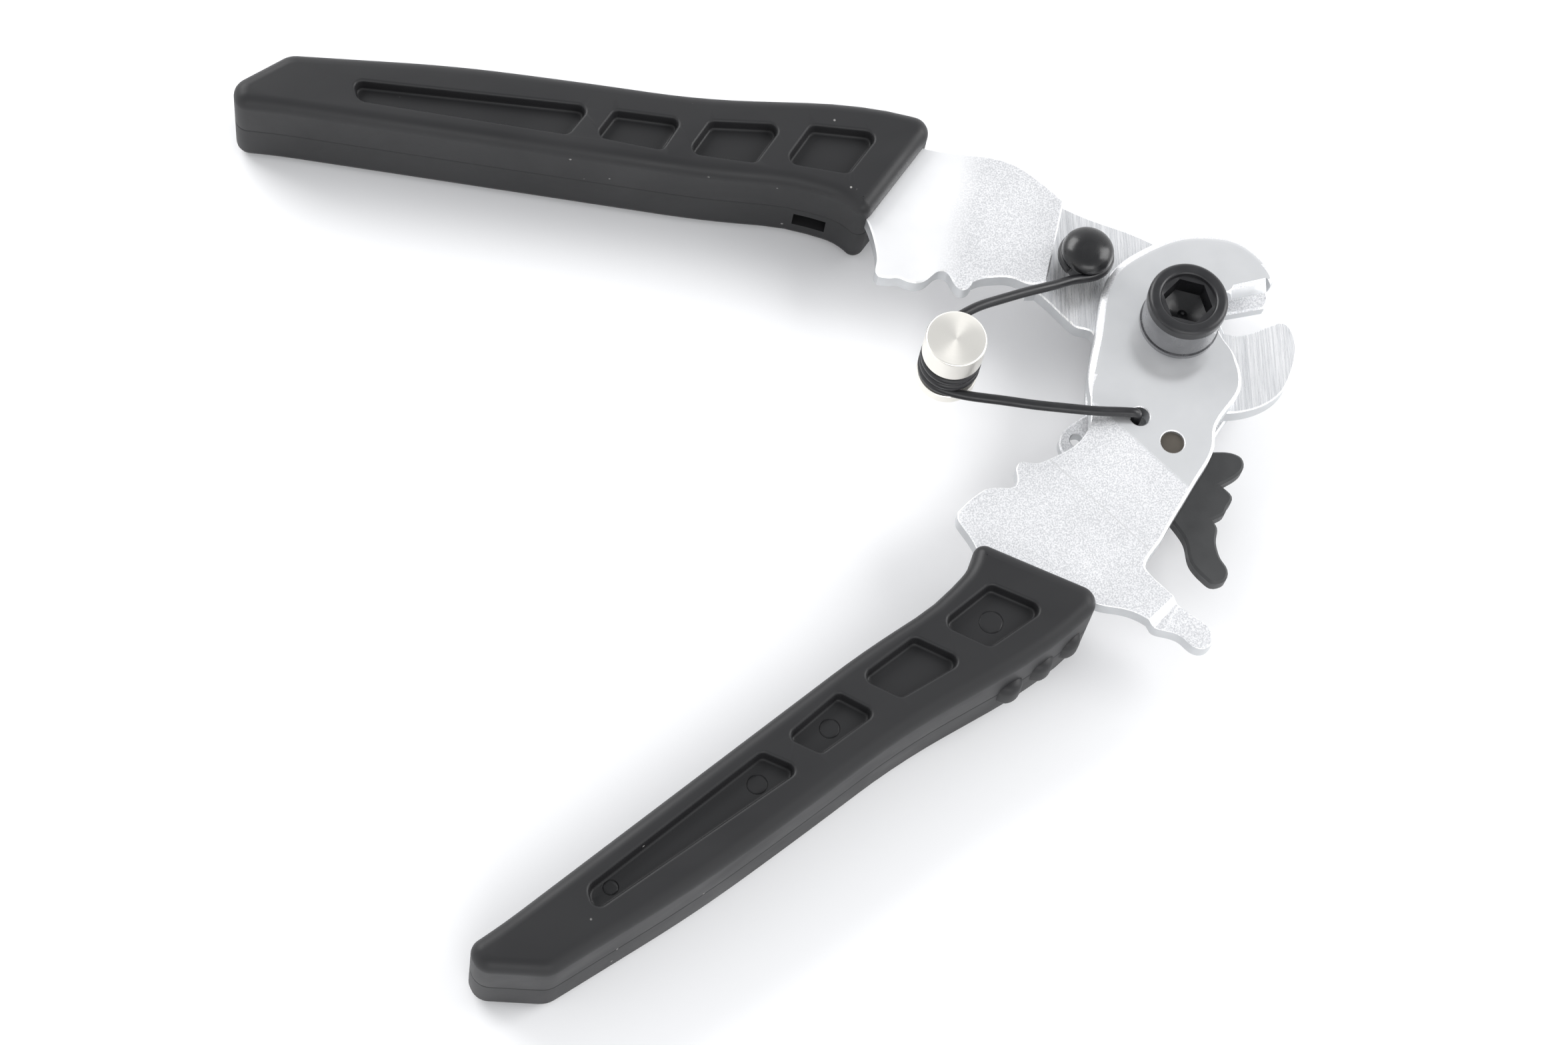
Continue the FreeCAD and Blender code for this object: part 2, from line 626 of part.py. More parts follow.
def spool():
    back = -dim("coil_centre_back")
    radius = dim("spool_radius")
    edge = dim("spool_edge")
    stem = dim("spool_stem_radius")
    spigot = dim("spool_spigot_radius")
    bottom = dim("spool_bottom")
    base_top = dim("spool_base_top")
    cap_bottom = dim("spool_cap_bottom")
    top = dim("spool_top")
    keep(turned("spool_cap", MIDDLE, back, 0, [
        (0, bottom), (spigot, bottom), (spigot, base_top), (stem, base_top), (stem, cap_bottom),
        (radius, cap_bottom), (radius, top - edge), (radius - edge, top), (0, top)]))
    keep(turned("spool_base", MIDDLE, back, 0, [
        (spigot, bottom), (radius - edge, bottom), (radius, bottom + edge), (radius, base_top),
        (spigot, base_top)]))


lower_plate = lower_arm_plate()
upper_plate = upper_arm_plate()
back_plate()
grip("lower_grip", lower_plate, LOWER)
grip("upper_grip", upper_plate, UPPER)
pivot_screw()
pivot_nut()
small_turned_pieces()
spring_post()
lock_lever()
spring()
spool()
doc.recompute()

for item in doc.Objects:
    if "Invalid" in item.State or "Error" in item.State:
        raise RuntimeError("%s is %s" % (item.Name, item.State))
for node in NODES:
    if node.Shape.isNull() or not node.Shape.isValid():
        raise RuntimeError(node.Label + " has no valid shape")

os.makedirs("parts", exist_ok=True)
for node in NODES:
    node.Shape.exportStep("parts/%s.step" % node.Label)
    box = node.Shape.BoundBox
    print("%-18s solids %d volume %9.1f  z %.2f..%.2f" % (
        node.Label, len(node.Shape.Solids), node.Shape.Volume, box.ZMin, box.ZMax))
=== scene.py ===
import math

import bmesh
import bpy
import numpy as np
from mathutils import Matrix, Vector
from mathutils.geometry import delaunay_2d_cdt


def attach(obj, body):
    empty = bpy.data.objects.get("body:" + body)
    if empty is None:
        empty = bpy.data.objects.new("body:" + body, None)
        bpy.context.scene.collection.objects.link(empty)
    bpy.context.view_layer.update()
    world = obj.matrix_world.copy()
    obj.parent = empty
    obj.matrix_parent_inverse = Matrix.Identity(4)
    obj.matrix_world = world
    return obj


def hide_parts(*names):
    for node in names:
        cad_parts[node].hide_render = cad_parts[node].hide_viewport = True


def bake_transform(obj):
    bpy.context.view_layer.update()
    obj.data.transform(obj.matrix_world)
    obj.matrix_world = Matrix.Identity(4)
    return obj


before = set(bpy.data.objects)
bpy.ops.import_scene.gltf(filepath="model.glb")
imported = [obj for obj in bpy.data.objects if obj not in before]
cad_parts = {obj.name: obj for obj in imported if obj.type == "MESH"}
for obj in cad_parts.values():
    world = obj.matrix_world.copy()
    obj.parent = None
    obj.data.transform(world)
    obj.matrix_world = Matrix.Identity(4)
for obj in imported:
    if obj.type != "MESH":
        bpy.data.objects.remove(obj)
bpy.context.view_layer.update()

# Lengths are in millimetres here, but for the lights and the floor, and become metres when a
# mesh is made. Each arm is drawn in a frame of its own: x runs from the pivot to the end of
# the handle, y points away from the other arm, and z = 0 is the top face of the arms. The
# row's z = 0 is the table.
MM = 0.001
ARM_TOP = 13.9
HALF_ANGLE = math.radians(29.0)
LOWER = {"turn": HALF_ANGLE - math.pi, "outward": 1}
UPPER = {"turn": math.pi - HALF_ANGLE, "outward": -1}
MIDDLE = {"turn": 0.0, "outward": 1}
# Axes of holes and turned pieces: the post's in the upper arm's frame, the spool's in the row's,
# and all the others in the lower arm's.
PIVOT = (0, 0)
SPRING_HOLE = (17.2, 6.9)
LEVER_PIN = (16.7, 13.6)
POST = (17.0, 7.5)
EAR_HOLE = (24.8, 1.5)
SPOOL = (-40.1, 0.0)

# ------------------------------------------------------------------ camera, light and floor

FOCAL_LENGTH = 86.1
SENSOR_WIDTH = 36.0
CAMERA_PLACE = Vector((-193.1, -235.6, 544.85)) * MM
CAMERA_DOWN = math.radians(64.92)
CAMERA_HEADING = math.radians(-29.0)
CAMERA_ROLL = math.radians(-13.47)


def add_camera():
    data = bpy.data.cameras.new("camera")
    data.lens = FOCAL_LENGTH
    data.sensor_width = SENSOR_WIDTH
    data.clip_start = 0.01
    camera = bpy.data.objects.new("camera", data)
    bpy.context.scene.collection.objects.link(camera)
    forward = Vector((0, math.cos(CAMERA_DOWN), -math.sin(CAMERA_DOWN)))
    right = Vector((1, 0, 0))
    down = forward.cross(right)
    turned_right = math.cos(CAMERA_ROLL) * right + math.sin(CAMERA_ROLL) * down
    turned_down = -math.sin(CAMERA_ROLL) * right + math.cos(CAMERA_ROLL) * down
    axes = Matrix((turned_right, -turned_down, -forward)).transposed()
    place = Matrix.Rotation(CAMERA_HEADING, 3, "Z") @ axes
    camera.matrix_world = Matrix.Translation(CAMERA_PLACE) @ place.to_4x4()
    bpy.context.scene.camera = camera


def add_softbox(name, place, size, power):
    """A rectangular light that faces the pivot."""
    light = bpy.data.lights.new(name, "AREA")
    light.shape = "RECTANGLE"
    light.size, light.size_y = size
    light.energy = power
    lamp = bpy.data.objects.new(name, light)
    bpy.context.scene.collection.objects.link(lamp)
    lamp.location = place
    lamp.rotation_euler = (-Vector(place)).to_track_quat("-Z", "Y").to_euler()


def add_floor():
    mesh = bpy.data.meshes.new("floor")
    reach = 3.0
    corners = [(-reach, -reach, 0), (reach, -reach, 0), (reach, reach, 0), (-reach, reach, 0)]
    mesh.from_pydata(corners, [], [(0, 1, 2, 3)])
    floor = bpy.data.objects.new("floor", mesh)
    bpy.context.scene.collection.objects.link(floor)
    mesh.materials.append(floor_paper())


def add_world():
    """White all round at the level of the table and greyer overhead, as in a tent with a gap at its top."""
    world = bpy.data.worlds.new("studio")
    world.use_nodes = True
    tree = world.node_tree
    background = tree.nodes["Background"]
    place = tree.nodes.new("ShaderNodeTexCoord")
    split = tree.nodes.new("ShaderNodeSeparateXYZ")
    height = tree.nodes.new("ShaderNodeMapRange")
    height.inputs["From Min"].default_value = 0.1
    height.inputs["From Max"].default_value = 0.85
    height.inputs["To Min"].default_value = 1.0
    height.inputs["To Max"].default_value = 0.0
    shade = tree.nodes.new("ShaderNodeMix")
    shade.data_type = "RGBA"
    shade.inputs["A"].default_value = (0.43, 0.438, 0.45, 1)
    shade.inputs["B"].default_value = (1.0, 1.005, 1.02, 1)
    tree.links.new(place.outputs["Generated"], split.inputs["Vector"])
    tree.links.new(split.outputs["Z"], height.inputs["Value"])
    tree.links.new(height.outputs["Result"], shade.inputs["Factor"])
    tree.links.new(shade.outputs["Result"], background.inputs["Color"])
    background.inputs["Strength"].default_value = 1.35
    bpy.context.scene.world = world
    bpy.context.scene.view_settings.view_transform = "Standard"


# ------------------------------------------------------------------ materials

class Paint:
    """A node material with a Principled shader and short ways to wire procedural detail into it."""

    def __init__(self, name, colour, metallic, roughness):
        self.material = bpy.data.materials.new(name)
        self.material.use_nodes = True
        self.tree = self.material.node_tree
        self.shader = self.tree.nodes["Principled BSDF"]
        self.shader.inputs["Base Color"].default_value = (*colour, 1)
        self.shader.inputs["Metallic"].default_value = metallic
        self.shader.inputs["Roughness"].default_value = roughness
        self.place = self.node("ShaderNodeTexCoord").outputs["Object"]

    def node(self, kind, **settings):
        node = self.tree.nodes.new(kind)
        for key, value in settings.items():
            setattr(node, key, value)
        return node

    def link(self, source, target):
        self.tree.links.new(source, target)

    def scaled(self, scale, turn=0.0):
        """Object coordinates in metres, turned about z and then multiplied."""
        turned = self.node("ShaderNodeVectorRotate", rotation_type="Z_AXIS")
        turned.inputs["Angle"].default_value = -turn
        self.link(self.place, turned.inputs["Vector"])
        mapping = self.node("ShaderNodeVectorMath", operation="MULTIPLY")
        mapping.inputs[1].default_value = scale
        self.link(turned.outputs["Vector"], mapping.inputs[0])
        return mapping.outputs["Vector"]

    def noise(self, scale, turn=0.0, detail=3.0, rough=0.5, warp=0.0):
        texture = self.node("ShaderNodeTexNoise")
        texture.inputs["Scale"].default_value = 1.0
        texture.inputs["Detail"].default_value = detail
        texture.inputs["Roughness"].default_value = rough
        texture.inputs["Distortion"].default_value = warp
        self.link(self.scaled(scale, turn), texture.inputs["Vector"])
        return texture.outputs["Fac"]

    def cells(self, scale):
        texture = self.node("ShaderNodeTexVoronoi", feature="F1")
        texture.inputs["Scale"].default_value = 1.0
        self.link(self.scaled(scale), texture.inputs["Vector"])
        return texture.outputs["Distance"]

    def ramp(self, source, low, high, from_low, from_high):
        spread = self.node("ShaderNodeMapRange", clamp=True)
        spread.inputs["From Min"].default_value = from_low
        spread.inputs["From Max"].default_value = from_high
        spread.inputs["To Min"].default_value = low
        spread.inputs["To Max"].default_value = high
        self.link(source, spread.inputs["Value"])
        return spread.outputs["Result"]

    def maths(self, operation, first, second=0.0):
        node = self.node("ShaderNodeMath", operation=operation)
        for socket, value in zip(node.inputs, (first, second)):
            if isinstance(value, (int, float)):
                socket.default_value = value
            else:
                self.link(value, socket)
        return node.outputs["Value"]

    def mixed(self, amount, first, second):
        node = self.node("ShaderNodeMix", data_type="RGBA")
        self.link(amount, node.inputs["Factor"])
        for socket, value in ((node.inputs["A"], first), (node.inputs["B"], second)):
            if isinstance(value, tuple):
                socket.default_value = (*value, 1)
            else:
                self.link(value, socket)
        return node.outputs["Result"]

    def colour_from(self, source):
        self.link(source, self.shader.inputs["Base Color"])

    def roughness_from(self, source):
        self.link(source, self.shader.inputs["Roughness"])

    def bump(self, source, height, strength):
        """Bumps stack: each call rides on the one before it."""
        bump = self.node("ShaderNodeBump")
        bump.inputs["Strength"].default_value = strength
        bump.inputs["Distance"].default_value = height * MM
        self.link(source, bump.inputs["Height"])
        normal = self.shader.inputs["Normal"]
        if normal.links:
            self.link(normal.links[0].from_socket, bump.inputs["Normal"])
        self.link(bump.outputs["Normal"], normal)

    def axis(self, name, source):
        split = self.node("ShaderNodeSeparateXYZ")
        self.link(source, split.inputs["Vector"])
        return split.outputs[name]


def floor_paper():
    paint = Paint("floor_paper", (0.9, 0.9, 0.905), 0.0, 0.6)
    paint.colour_from(paint.mixed(paint.noise((3, 3, 3)), (0.89, 0.89, 0.9), (0.91, 0.91, 0.91)))
    return paint.material


def grip_plastic():
    paint = Paint("grip_plastic", (0.02, 0.02, 0.021), 0.0, 0.5)
    cloud = paint.noise((60, 60, 60), detail=4)
    base = paint.mixed(cloud, (0.010, 0.010, 0.011), (0.018, 0.018, 0.019))
    dust_size = paint.ramp(paint.cells((420, 420, 420)), 1, 0, 0.05, 0.11)
    dust_pick = paint.ramp(paint.noise((150, 150, 150), detail=2), 0, 1, 0.63, 0.68)
    dust = paint.maths("MULTIPLY", dust_size, dust_pick)
    paint.colour_from(paint.mixed(dust, base, (0.35, 0.34, 0.33)))
    smear = paint.noise((30, 90, 60), detail=5, warp=0.8)
    paint.roughness_from(paint.ramp(smear, 0.42, 0.58, 0.3, 0.7))
    paint.bump(paint.noise((3200, 3200, 3200), detail=2), 0.012, 0.6)
    paint.bump(paint.noise((500, 500, 500), detail=3), 0.02, 0.35)
    paint.shader.inputs["Specular IOR Level"].default_value = 0.38
    return paint.material


SPARKLE = ((0.66, 0.665, 0.68), (0.95, 0.95, 0.96))
POLISH = ((0.78, 0.788, 0.795), (0.87, 0.875, 0.88))
LINE_GREY = (0.7, 0.7, 0.7)
WHITEST = (0.97, 0.97, 0.975)


def bright_plate(name, arm, smooth_until=None, line_at=None, glare_from=None, tint=1.0):
    """Zinc plate with a blasted sparkle. Near the pivot it can be smooth, and far from it a painted
    reflection of a softbox makes it whiter.
    """
    paint = Paint(name, (0.8, 0.8, 0.81), 0.72, 0.4)
    grain = paint.noise((3900, 3900, 3900), detail=2, rough=0.7)
    patch = paint.noise((90, 90, 90), detail=3)
    # tint lightens both colours; the rim copy uses it for a painted highlight.
    dark, light = [tuple(min(1.0, tint * part) for part in colour) for colour in SPARKLE]
    skin = paint.mixed(paint.ramp(grain, 0, 1, 0.4, 0.6), dark, light)
    rough = paint.ramp(patch, 0.36, 0.46, 0.3, 0.7)
    bite = grain
    along = paint.axis("X", paint.scaled((1000, 1000, 1000), arm["turn"]))
    if glare_from is not None:
        # Painted reflection: a blown-out softbox reflection, painted as whiter colour beyond this distance
        # from the pivot.
        far = paint.ramp(along, 0, 1, glare_from - 2.0, glare_from + 2.5)
        skin = paint.mixed(far, skin, WHITEST)
    if smooth_until is not None:
        blasted = paint.ramp(along, 0, 1, smooth_until - 0.35, smooth_until + 0.35)
        haze = paint.noise((260, 260, 260), detail=4)
        skin = paint.mixed(blasted, paint.mixed(haze, *POLISH), skin)
        bite = paint.maths("MULTIPLY", grain, blasted)
        even = paint.ramp(patch, 0.17, 0.25, 0.3, 0.7)
        rough = paint.maths("ADD", paint.maths("MULTIPLY", blasted, 0.2), even)
    if line_at is not None:
        # A thin grey band across the plate at a set distance from the pivot.
        off_line = paint.maths("ABSOLUTE", paint.maths("SUBTRACT", along, line_at))
        skin = paint.mixed(paint.ramp(off_line, 0, 1, 0.03, 0.13), LINE_GREY, skin)
    paint.colour_from(skin)
    paint.roughness_from(rough)
    paint.bump(bite, 0.02, 0.8)
    return paint.material


def brushed_blade():
    """Ground steel with fine streaks across the blade."""
    paint = Paint("brushed_blade", (0.84, 0.84, 0.85), 0.75, 0.3)
    brush = math.radians(74.5)
    lines = paint.noise((260, 9000, 260), brush, detail=2, rough=0.8)
    fine = paint.noise((60, 4200, 60), brush, detail=4, rough=0.7)
    streaks = paint.ramp(fine, 0, 1, 0.4, 0.62)
    paint.colour_from(paint.mixed(streaks, (0.74, 0.75, 0.765), WHITEST))
    paint.roughness_from(paint.ramp(lines, 0.24, 0.42, 0.35, 0.65))
    paint.bump(fine, 0.015, 0.7)
    return paint.material


def cloudy(name, colour, roughness, grain_scale, grain_height, metallic=0.0, spread=1.9):
    """A finish that varies softly between its colour and one that is spread times as light."""
    paint = Paint(name, colour, metallic, roughness)
    lighter = tuple(min(1.0, part * spread) for part in colour)
    paint.colour_from(paint.mixed(paint.noise((240, 240, 240), detail=4), colour, lighter))
    patch = paint.noise((500, 500, 500))
    paint.roughness_from(paint.ramp(patch, roughness - 0.07, roughness + 0.09, 0.3, 0.7))
    paint.bump(paint.noise((grain_scale, grain_scale, grain_scale), detail=3), grain_height, 0.6)
    return paint.material


def turned_steel(axis):
    """Turned steel: fine rings round the axis on every face, with the streaked sheen that they give."""
    paint = Paint("turned_steel", (0.9, 0.87, 0.81), 0.9, 0.33)
    shift = paint.node("ShaderNodeVectorMath", operation="SUBTRACT")
    shift.inputs[1].default_value = (axis[0] * MM, axis[1] * MM, 0)
    paint.link(paint.place, shift.inputs[0])
    flat = paint.node("ShaderNodeVectorMath", operation="MULTIPLY")
    flat.inputs[1].default_value = (1, 1, 0)
    paint.link(shift.outputs["Vector"], flat.inputs[0])
    reach = paint.node("ShaderNodeVectorMath", operation="LENGTH")
    paint.link(flat.outputs["Vector"], reach.inputs[0])
    height = paint.axis("Z", shift.outputs["Vector"])
    rings = paint.node("ShaderNodeTexNoise", noise_dimensions="1D")
    rings.inputs["Scale"].default_value = 15000
    rings.inputs["Detail"].default_value = 2
    paint.link(paint.maths("ADD", reach.outputs["Value"], height), rings.inputs["W"])
    paint.colour_from(paint.mixed(rings.outputs["Fac"], (0.86, 0.835, 0.775), (0.96, 0.935, 0.875)))
    paint.roughness_from(paint.ramp(rings.outputs["Fac"], 0.28, 0.36, 0.35, 0.65))
    paint.bump(rings.outputs["Fac"], 0.003, 0.6)
    paint.shader.inputs["Anisotropic"].default_value = 0.7
    around = paint.node("ShaderNodeTangent", direction_type="RADIAL", axis="Z")
    paint.link(around.outputs["Tangent"], paint.shader.inputs["Tangent"])
    return paint.material


# ------------------------------------------------------------------ outlines

# A grip's corners are (x, y, radius); a corner without a radius is rounded as widely as it can be.
GRIP_CORNERS = [
    (45.2, 24.9, 3.0), (54.0, 25.1, None), (63.0, 23.9, None), (84.0, 18.8, None), (103.0, 16.8, None),
    (124.0, 14.2, None), (150.6, 8.8, 4.0), (157.9, 0.9, 3.2), (156.4, -3.0, 2.6), (150.0, -2.0, None),
    (80.0, 4.7, None), (66.0, 7.1, None), (57.5, 6.6, None), (53.4, 4.1, 2.3),
]
GRIP_POCKETS = {
    "long": [(101.0, 11.9, 1.2), (103.4, 5.9, 1.2), (137.6, 2.9, 1.9), (139.2, 6.3, 1.8)],
    "near_long": [(86.1, 13.5, 1.1), (88.0, 7.2, 1.1), (99.0, 6.7, 1.1), (97.0, 12.2, 1.1)],
    "middle": [(69.9, 17.0, 1.3), (72.8, 8.9, 1.3), (83.8, 7.7, 1.3), (81.5, 14.4, 1.3)],
    "head": [(54.2, 19.8, 1.4), (57.7, 11.0, 1.4), (68.2, 10.2, 1.4), (65.4, 18.1, 1.4)],
}
NUB_CENTRES = [(52.3, 23.8), (58.3, 23.4), (64.6, 22.6)]
BEND_SHARE = 0.45
ARC_STEP = math.radians(9)
CURVE_STEP = 0.45


def rounded(corners):
    """Closed outline of straight sides joined by tangent arcs, as points."""
    points = [np.array(corner[:2]) for corner in corners]
    outline = []
    for index, (point, corner) in enumerate(zip(points, corners)):
        before = point - points[index - 1]
        after = points[(index + 1) % len(points)] - point
        back = np.hypot(*before)
        on = np.hypot(*after)
        before = before / back
        after = after / on
        turn = math.atan2(before[0] * after[1] - before[1] * after[0], before @ after)
        reach = BEND_SHARE * min(back, on)
        if corner[2] is not None:
            reach = min(reach, corner[2] * math.tan(abs(turn) / 2))
        radius = reach / math.tan(abs(turn) / 2)
        start = point - before * reach
        side = np.array((-before[1], before[0])) * math.copysign(1, turn)
        centre = start + side * radius
        steps = max(2, int(abs(turn) / ARC_STEP) + 1, int(radius * abs(turn) / 3.0))
        for step in range(steps + 1):
            angle = turn * step / steps
            spoke = start - centre
            outline.append(tuple(centre + np.array((
                spoke[0] * math.cos(angle) - spoke[1] * math.sin(angle),
                spoke[0] * math.sin(angle) + spoke[1] * math.cos(angle)))))
    return outline


def smooth(points):
    """A natural cubic spline through points of a plane or of space, sampled about every CURVE_STEP."""
    knots = np.array(points, float)
    steps = np.linalg.norm(knots[1:] - knots[:-1], axis=1)
    count = len(knots)
    system = np.eye(count)
    rhs = np.zeros(knots.shape)
    for i in range(1, count - 1):
        system[i, i - 1] = steps[i - 1]
        system[i, i] = 2 * (steps[i - 1] + steps[i])
        system[i, i + 1] = steps[i]
        rhs[i] = 6 * ((knots[i + 1] - knots[i]) / steps[i] - (knots[i] - knots[i - 1]) / steps[i - 1])
    bend = np.linalg.solve(system, rhs)
    result = []
    for i in range(count - 1):
        parts = max(2, int(steps[i] / CURVE_STEP))
        for part in range(parts):
            t = steps[i] * part / parts
            rest = steps[i] - t
            value = (bend[i] * rest ** 3 + bend[i + 1] * t ** 3) / (6 * steps[i])
            value = value + (knots[i] / steps[i] - bend[i] * steps[i] / 6) * rest
            value = value + (knots[i + 1] / steps[i] - bend[i + 1] * steps[i] / 6) * t
            result.append(tuple(value))
    result.append(tuple(knots[-1]))
    return result


def traced(stretches):
    """A closed outline from smooth stretches that meet at corners; a pair of points is straight."""
    outline = []
    last = stretches[-1][-1]
    for points in stretches:
        run = points if points[0] == last else [last] + points
        outline += smooth(run)[:-1] if len(run) > 2 else straight(run)[:-1]
        last = points[-1]
    return outline


def straight(run):
    (x0, y0), (x1, y1) = run
    parts = max(1, int(math.hypot(x1 - x0, y1 - y0) / 1.5))
    return [(x0 + (x1 - x0) * k / parts, y0 + (y1 - y0) * k / parts) for k in range(parts + 1)]


LOWER_PLATE = [
    [(-11.2, 2.6), (-16.45, 5.6)],
    [(-17.4, 5.6), (-18.5, 4.6), (-19.5, 2.5), (-19.8, 0.0), (-19.5, -2.5), (-18.5, -5.0),
     (-16.5, -7.5), (-14.0, -9.8), (-11.0, -11.6), (-8.0, -12.7), (-5.0, -13.5), (-2.0, -14.0),
     (1.0, -13.9), (4.0, -12.9), (8.0, -10.4), (11.5, -7.9), (16.0, -5.1), (18.6, -3.0), (20.5, -0.8)],
    [(22.0, 0.6), (24.0, 2.3), (26.0, 3.0), (28.0, 3.25), (30.0, 3.0), (32.0, 2.5), (35.0, 1.5)],
    [(36.0, 0.6), (36.7, -0.4), (37.6, -0.9), (38.6, -0.5), (39.5, 0.6), (40.5, 1.4), (41.3, 1.4),
     (42.5, 0.5), (43.5, -0.5), (45.0, -1.5)],
    [(47.0, -1.75), (51.0, -1.7)],
    [(51.8, -1.0), (52.3, 0.5), (53.0, 3.5), (54.5, 6.4), (58.0, 9.0)],
    [(58.0, 9.0), (98.0, 7.6)],
    [(98.0, 7.6), (98.0, 12.4)],
    [(98.0, 12.4), (60.0, 19.0)],
    [(60.0, 19.0), (47.6, 21.6)],
    [(46.9, 23.2), (46.0, 25.0), (44.5, 27.0), (43.3, 29.0), (42.5, 31.6), (42.2, 33.0), (41.0, 35.0),
     (40.2, 37.0), (40.1, 39.3), (39.2, 40.7), (37.6, 41.0), (36.2, 40.3), (35.8, 38.9), (36.0, 36.7),
     (36.5, 33.6), (36.6, 31.1)],
    [(36.6, 28.6), (36.5, 26.5), (36.1, 25.2), (35.0, 24.6), (31.0, 23.9), (28.0, 23.1), (22.0, 21.6),
     (18.0, 20.6), (14.0, 19.6), (12.0, 18.6), (10.0, 17.0), (7.5, 16.1), (3.0, 15.4), (1.5, 14.9),
     (-0.2, 13.6), (-1.6, 11.8), (-2.8, 9.0), (-3.5, 6.2), (-4.2, 4.8), (-5.4, 2.6), (-6.8, 1.2),
     (-8.6, 1.0), (-11.2, 2.6)],
]
BACK_PLATE = [
    [(-10.8, 3.3), (-15.96, 6.53)],
    [(-17.6, 6.0), (-18.9, 3.4), (-19.3, -1.0), (-17.6, -6.0), (-13.6, -9.6), (-7.6, -12.2),
     (-1.0, -13.5), (4.0, -12.4), (10.0, -8.5), (16.0, -4.3), (20.4, -0.6)],
    [(23.4, -1.1), (26.2, -0.9), (28.0, 0.9), (28.2, 3.4)],
    [(28.2, 3.4), (21.5, 15.5)],
    [(18.6, 17.8), (14.0, 18.3), (7.6, 16.6), (4.1, 15.9), (1.2, 15.2), (-1.6, 12.2), (-3.4, 7.7),
     (-4.6, 5.2), (-6.3, 2.2), (-8.4, 1.8), (-10.8, 3.3)],
]
UPPER_PLATE = [
    [(22.3, 17.2), (22.3, 1.9)],
    [(23.6, 1.1), (25.0, 0.65), (27.5, 1.0), (29.0, 0.9), (31.0, 0.3), (33.0, -0.6), (34.0, -1.4)],
    [(34.3, -2.4), (34.9, -3.1), (35.6, -3.3), (36.3, -3.0), (37.0, -2.4), (38.2, -1.0), (39.0, -0.7),
     (39.9, -1.0), (40.7, -2.0), (42.0, -3.6), (43.0, -4.1)],
    [(44.6, -4.1), (46.0, -3.9), (47.0, -4.2), (49.1, -4.5)],
    [(49.7, -3.8), (49.9, -2.2), (50.6, 0.6), (51.8, 3.2), (53.5, 5.8), (58.0, 9.0)],
    [(58.0, 9.0), (98.0, 7.6)],
    [(98.0, 7.6), (98.0, 12.4)],
    [(98.0, 12.4), (60.0, 19.0)],
    [(60.0, 19.0), (47.0, 20.9)],
    [(43.0, 21.2), (40.0, 21.6), (36.0, 22.1), (32.8, 22.1), (30.0, 21.4), (27.0, 20.0), (24.0, 18.3),
     (22.3, 17.2)],
]
BLADE = [
    [(22.3, 17.9), (18.0, 17.0), (14.0, 16.5), (10.0, 16.0), (6.3, 15.2), (0.0, 12.5), (-5.5, 6.0),
     (-8.0, 1.9)],
    [(-10.0, 2.0), (-12.0, 2.9), (-14.0, 4.4), (-16.3, 6.2)],
    [(-17.2, 6.35), (-18.3, 5.8), (-19.3, 4.3), (-20.0, 2.0), (-20.1, 0.0), (-19.8, -3.0),
     (-19.0, -6.0), (-17.5, -8.3), (-15.5, -10.1), (-13.5, -11.3), (-11.3, -12.2), (-5.0, -12.7),
     (3.0, -10.8), (9.0, -7.4), (13.4, -3.5)],
    [(14.4, -3.4), (16.0, -3.4), (17.0, -2.9), (19.0, -1.6), (21.0, -0.2), (23.4, 1.2)],
    [(23.4, 1.2), (25.0, 0.9)],
    [(25.0, 0.9), (25.0, 18.6)],
    [(25.0, 18.6), (22.3, 17.9)],
]
STEP_BLOCK = [(22.42, 17.1), (22.42, 1.7), (23.6, 1.15), (25.0, 0.7), (25.0, 18.75), (23.6, 18.0)]
LEVER = [
    [(11.4, 18.7), (9.0, 21.5), (8.8, 22.5), (9.3, 23.5), (10.3, 24.1), (11.5, 24.2), (13.2, 23.9),
     (15.0, 23.4)],
    [(14.9, 24.8), (15.1, 26.0), (16.0, 26.6), (17.0, 26.75), (18.3, 27.2), (19.4, 27.0), (20.6, 26.6)],
    [(21.0, 28.0), (22.6, 29.2), (24.0, 30.8), (24.7, 32.2), (25.0, 33.5), (25.7, 34.5), (26.9, 35.0),
     (28.0, 34.7), (28.9, 33.9), (29.1, 32.5), (29.0, 30.5), (28.6, 29.0), (27.5, 27.4), (26.5, 26.0),
     (26.0, 24.5), (25.6, 22.5)],
    [(24.4, 18.0), (22.4, 12.5), (22.4, 7.0), (21.6, 5.2), (19.8, 5.0), (18.6, 7.2), (14.6, 9.4),
     (11.8, 13.4), (11.4, 18.7)],
]


# ------------------------------------------------------------------ mesh building

SHARP = 35.0
RIM = 0.18
HOLE_RIM = 0.15


def in_row(arm, along, out, height):
    """A point of an arm's frame in the row frame, in metres."""
    side = out * arm["outward"]
    turn = arm["turn"]
    return ((along * math.cos(turn) - side * math.sin(turn)) * MM,
            (along * math.sin(turn) + side * math.cos(turn)) * MM,
            (height + ARM_TOP) * MM)


def signed_area(points):
    total = 0.0
    for (x0, y0), (x1, y1) in zip(points, points[1:] + points[:1]):
        total += x0 * y1 - x1 * y0
    return total / 2


def inset(points, amount):
    """The outline moved inwards, by one amount or by an amount for each point."""
    ring = np.array(points)
    amounts = np.full(len(ring), amount) if np.isscalar(amount) else np.array(amount)
    before = ring - np.roll(ring, 1, axis=0)
    after = np.roll(ring, -1, axis=0) - ring
    before /= np.hypot(*before.T)[:, None] + 1e-12
    after /= np.hypot(*after.T)[:, None] + 1e-12
    tangent = before + after
    tangent /= np.hypot(*tangent.T)[:, None] + 1e-12
    normal = np.stack((-tangent[:, 1], tangent[:, 0]), axis=1) * math.copysign(1, signed_area(points))
    spread = np.clip((before * tangent).sum(1), 0.6, 1.0)
    return [tuple(point) for point in ring + normal * (amounts / spread)[:, None]]


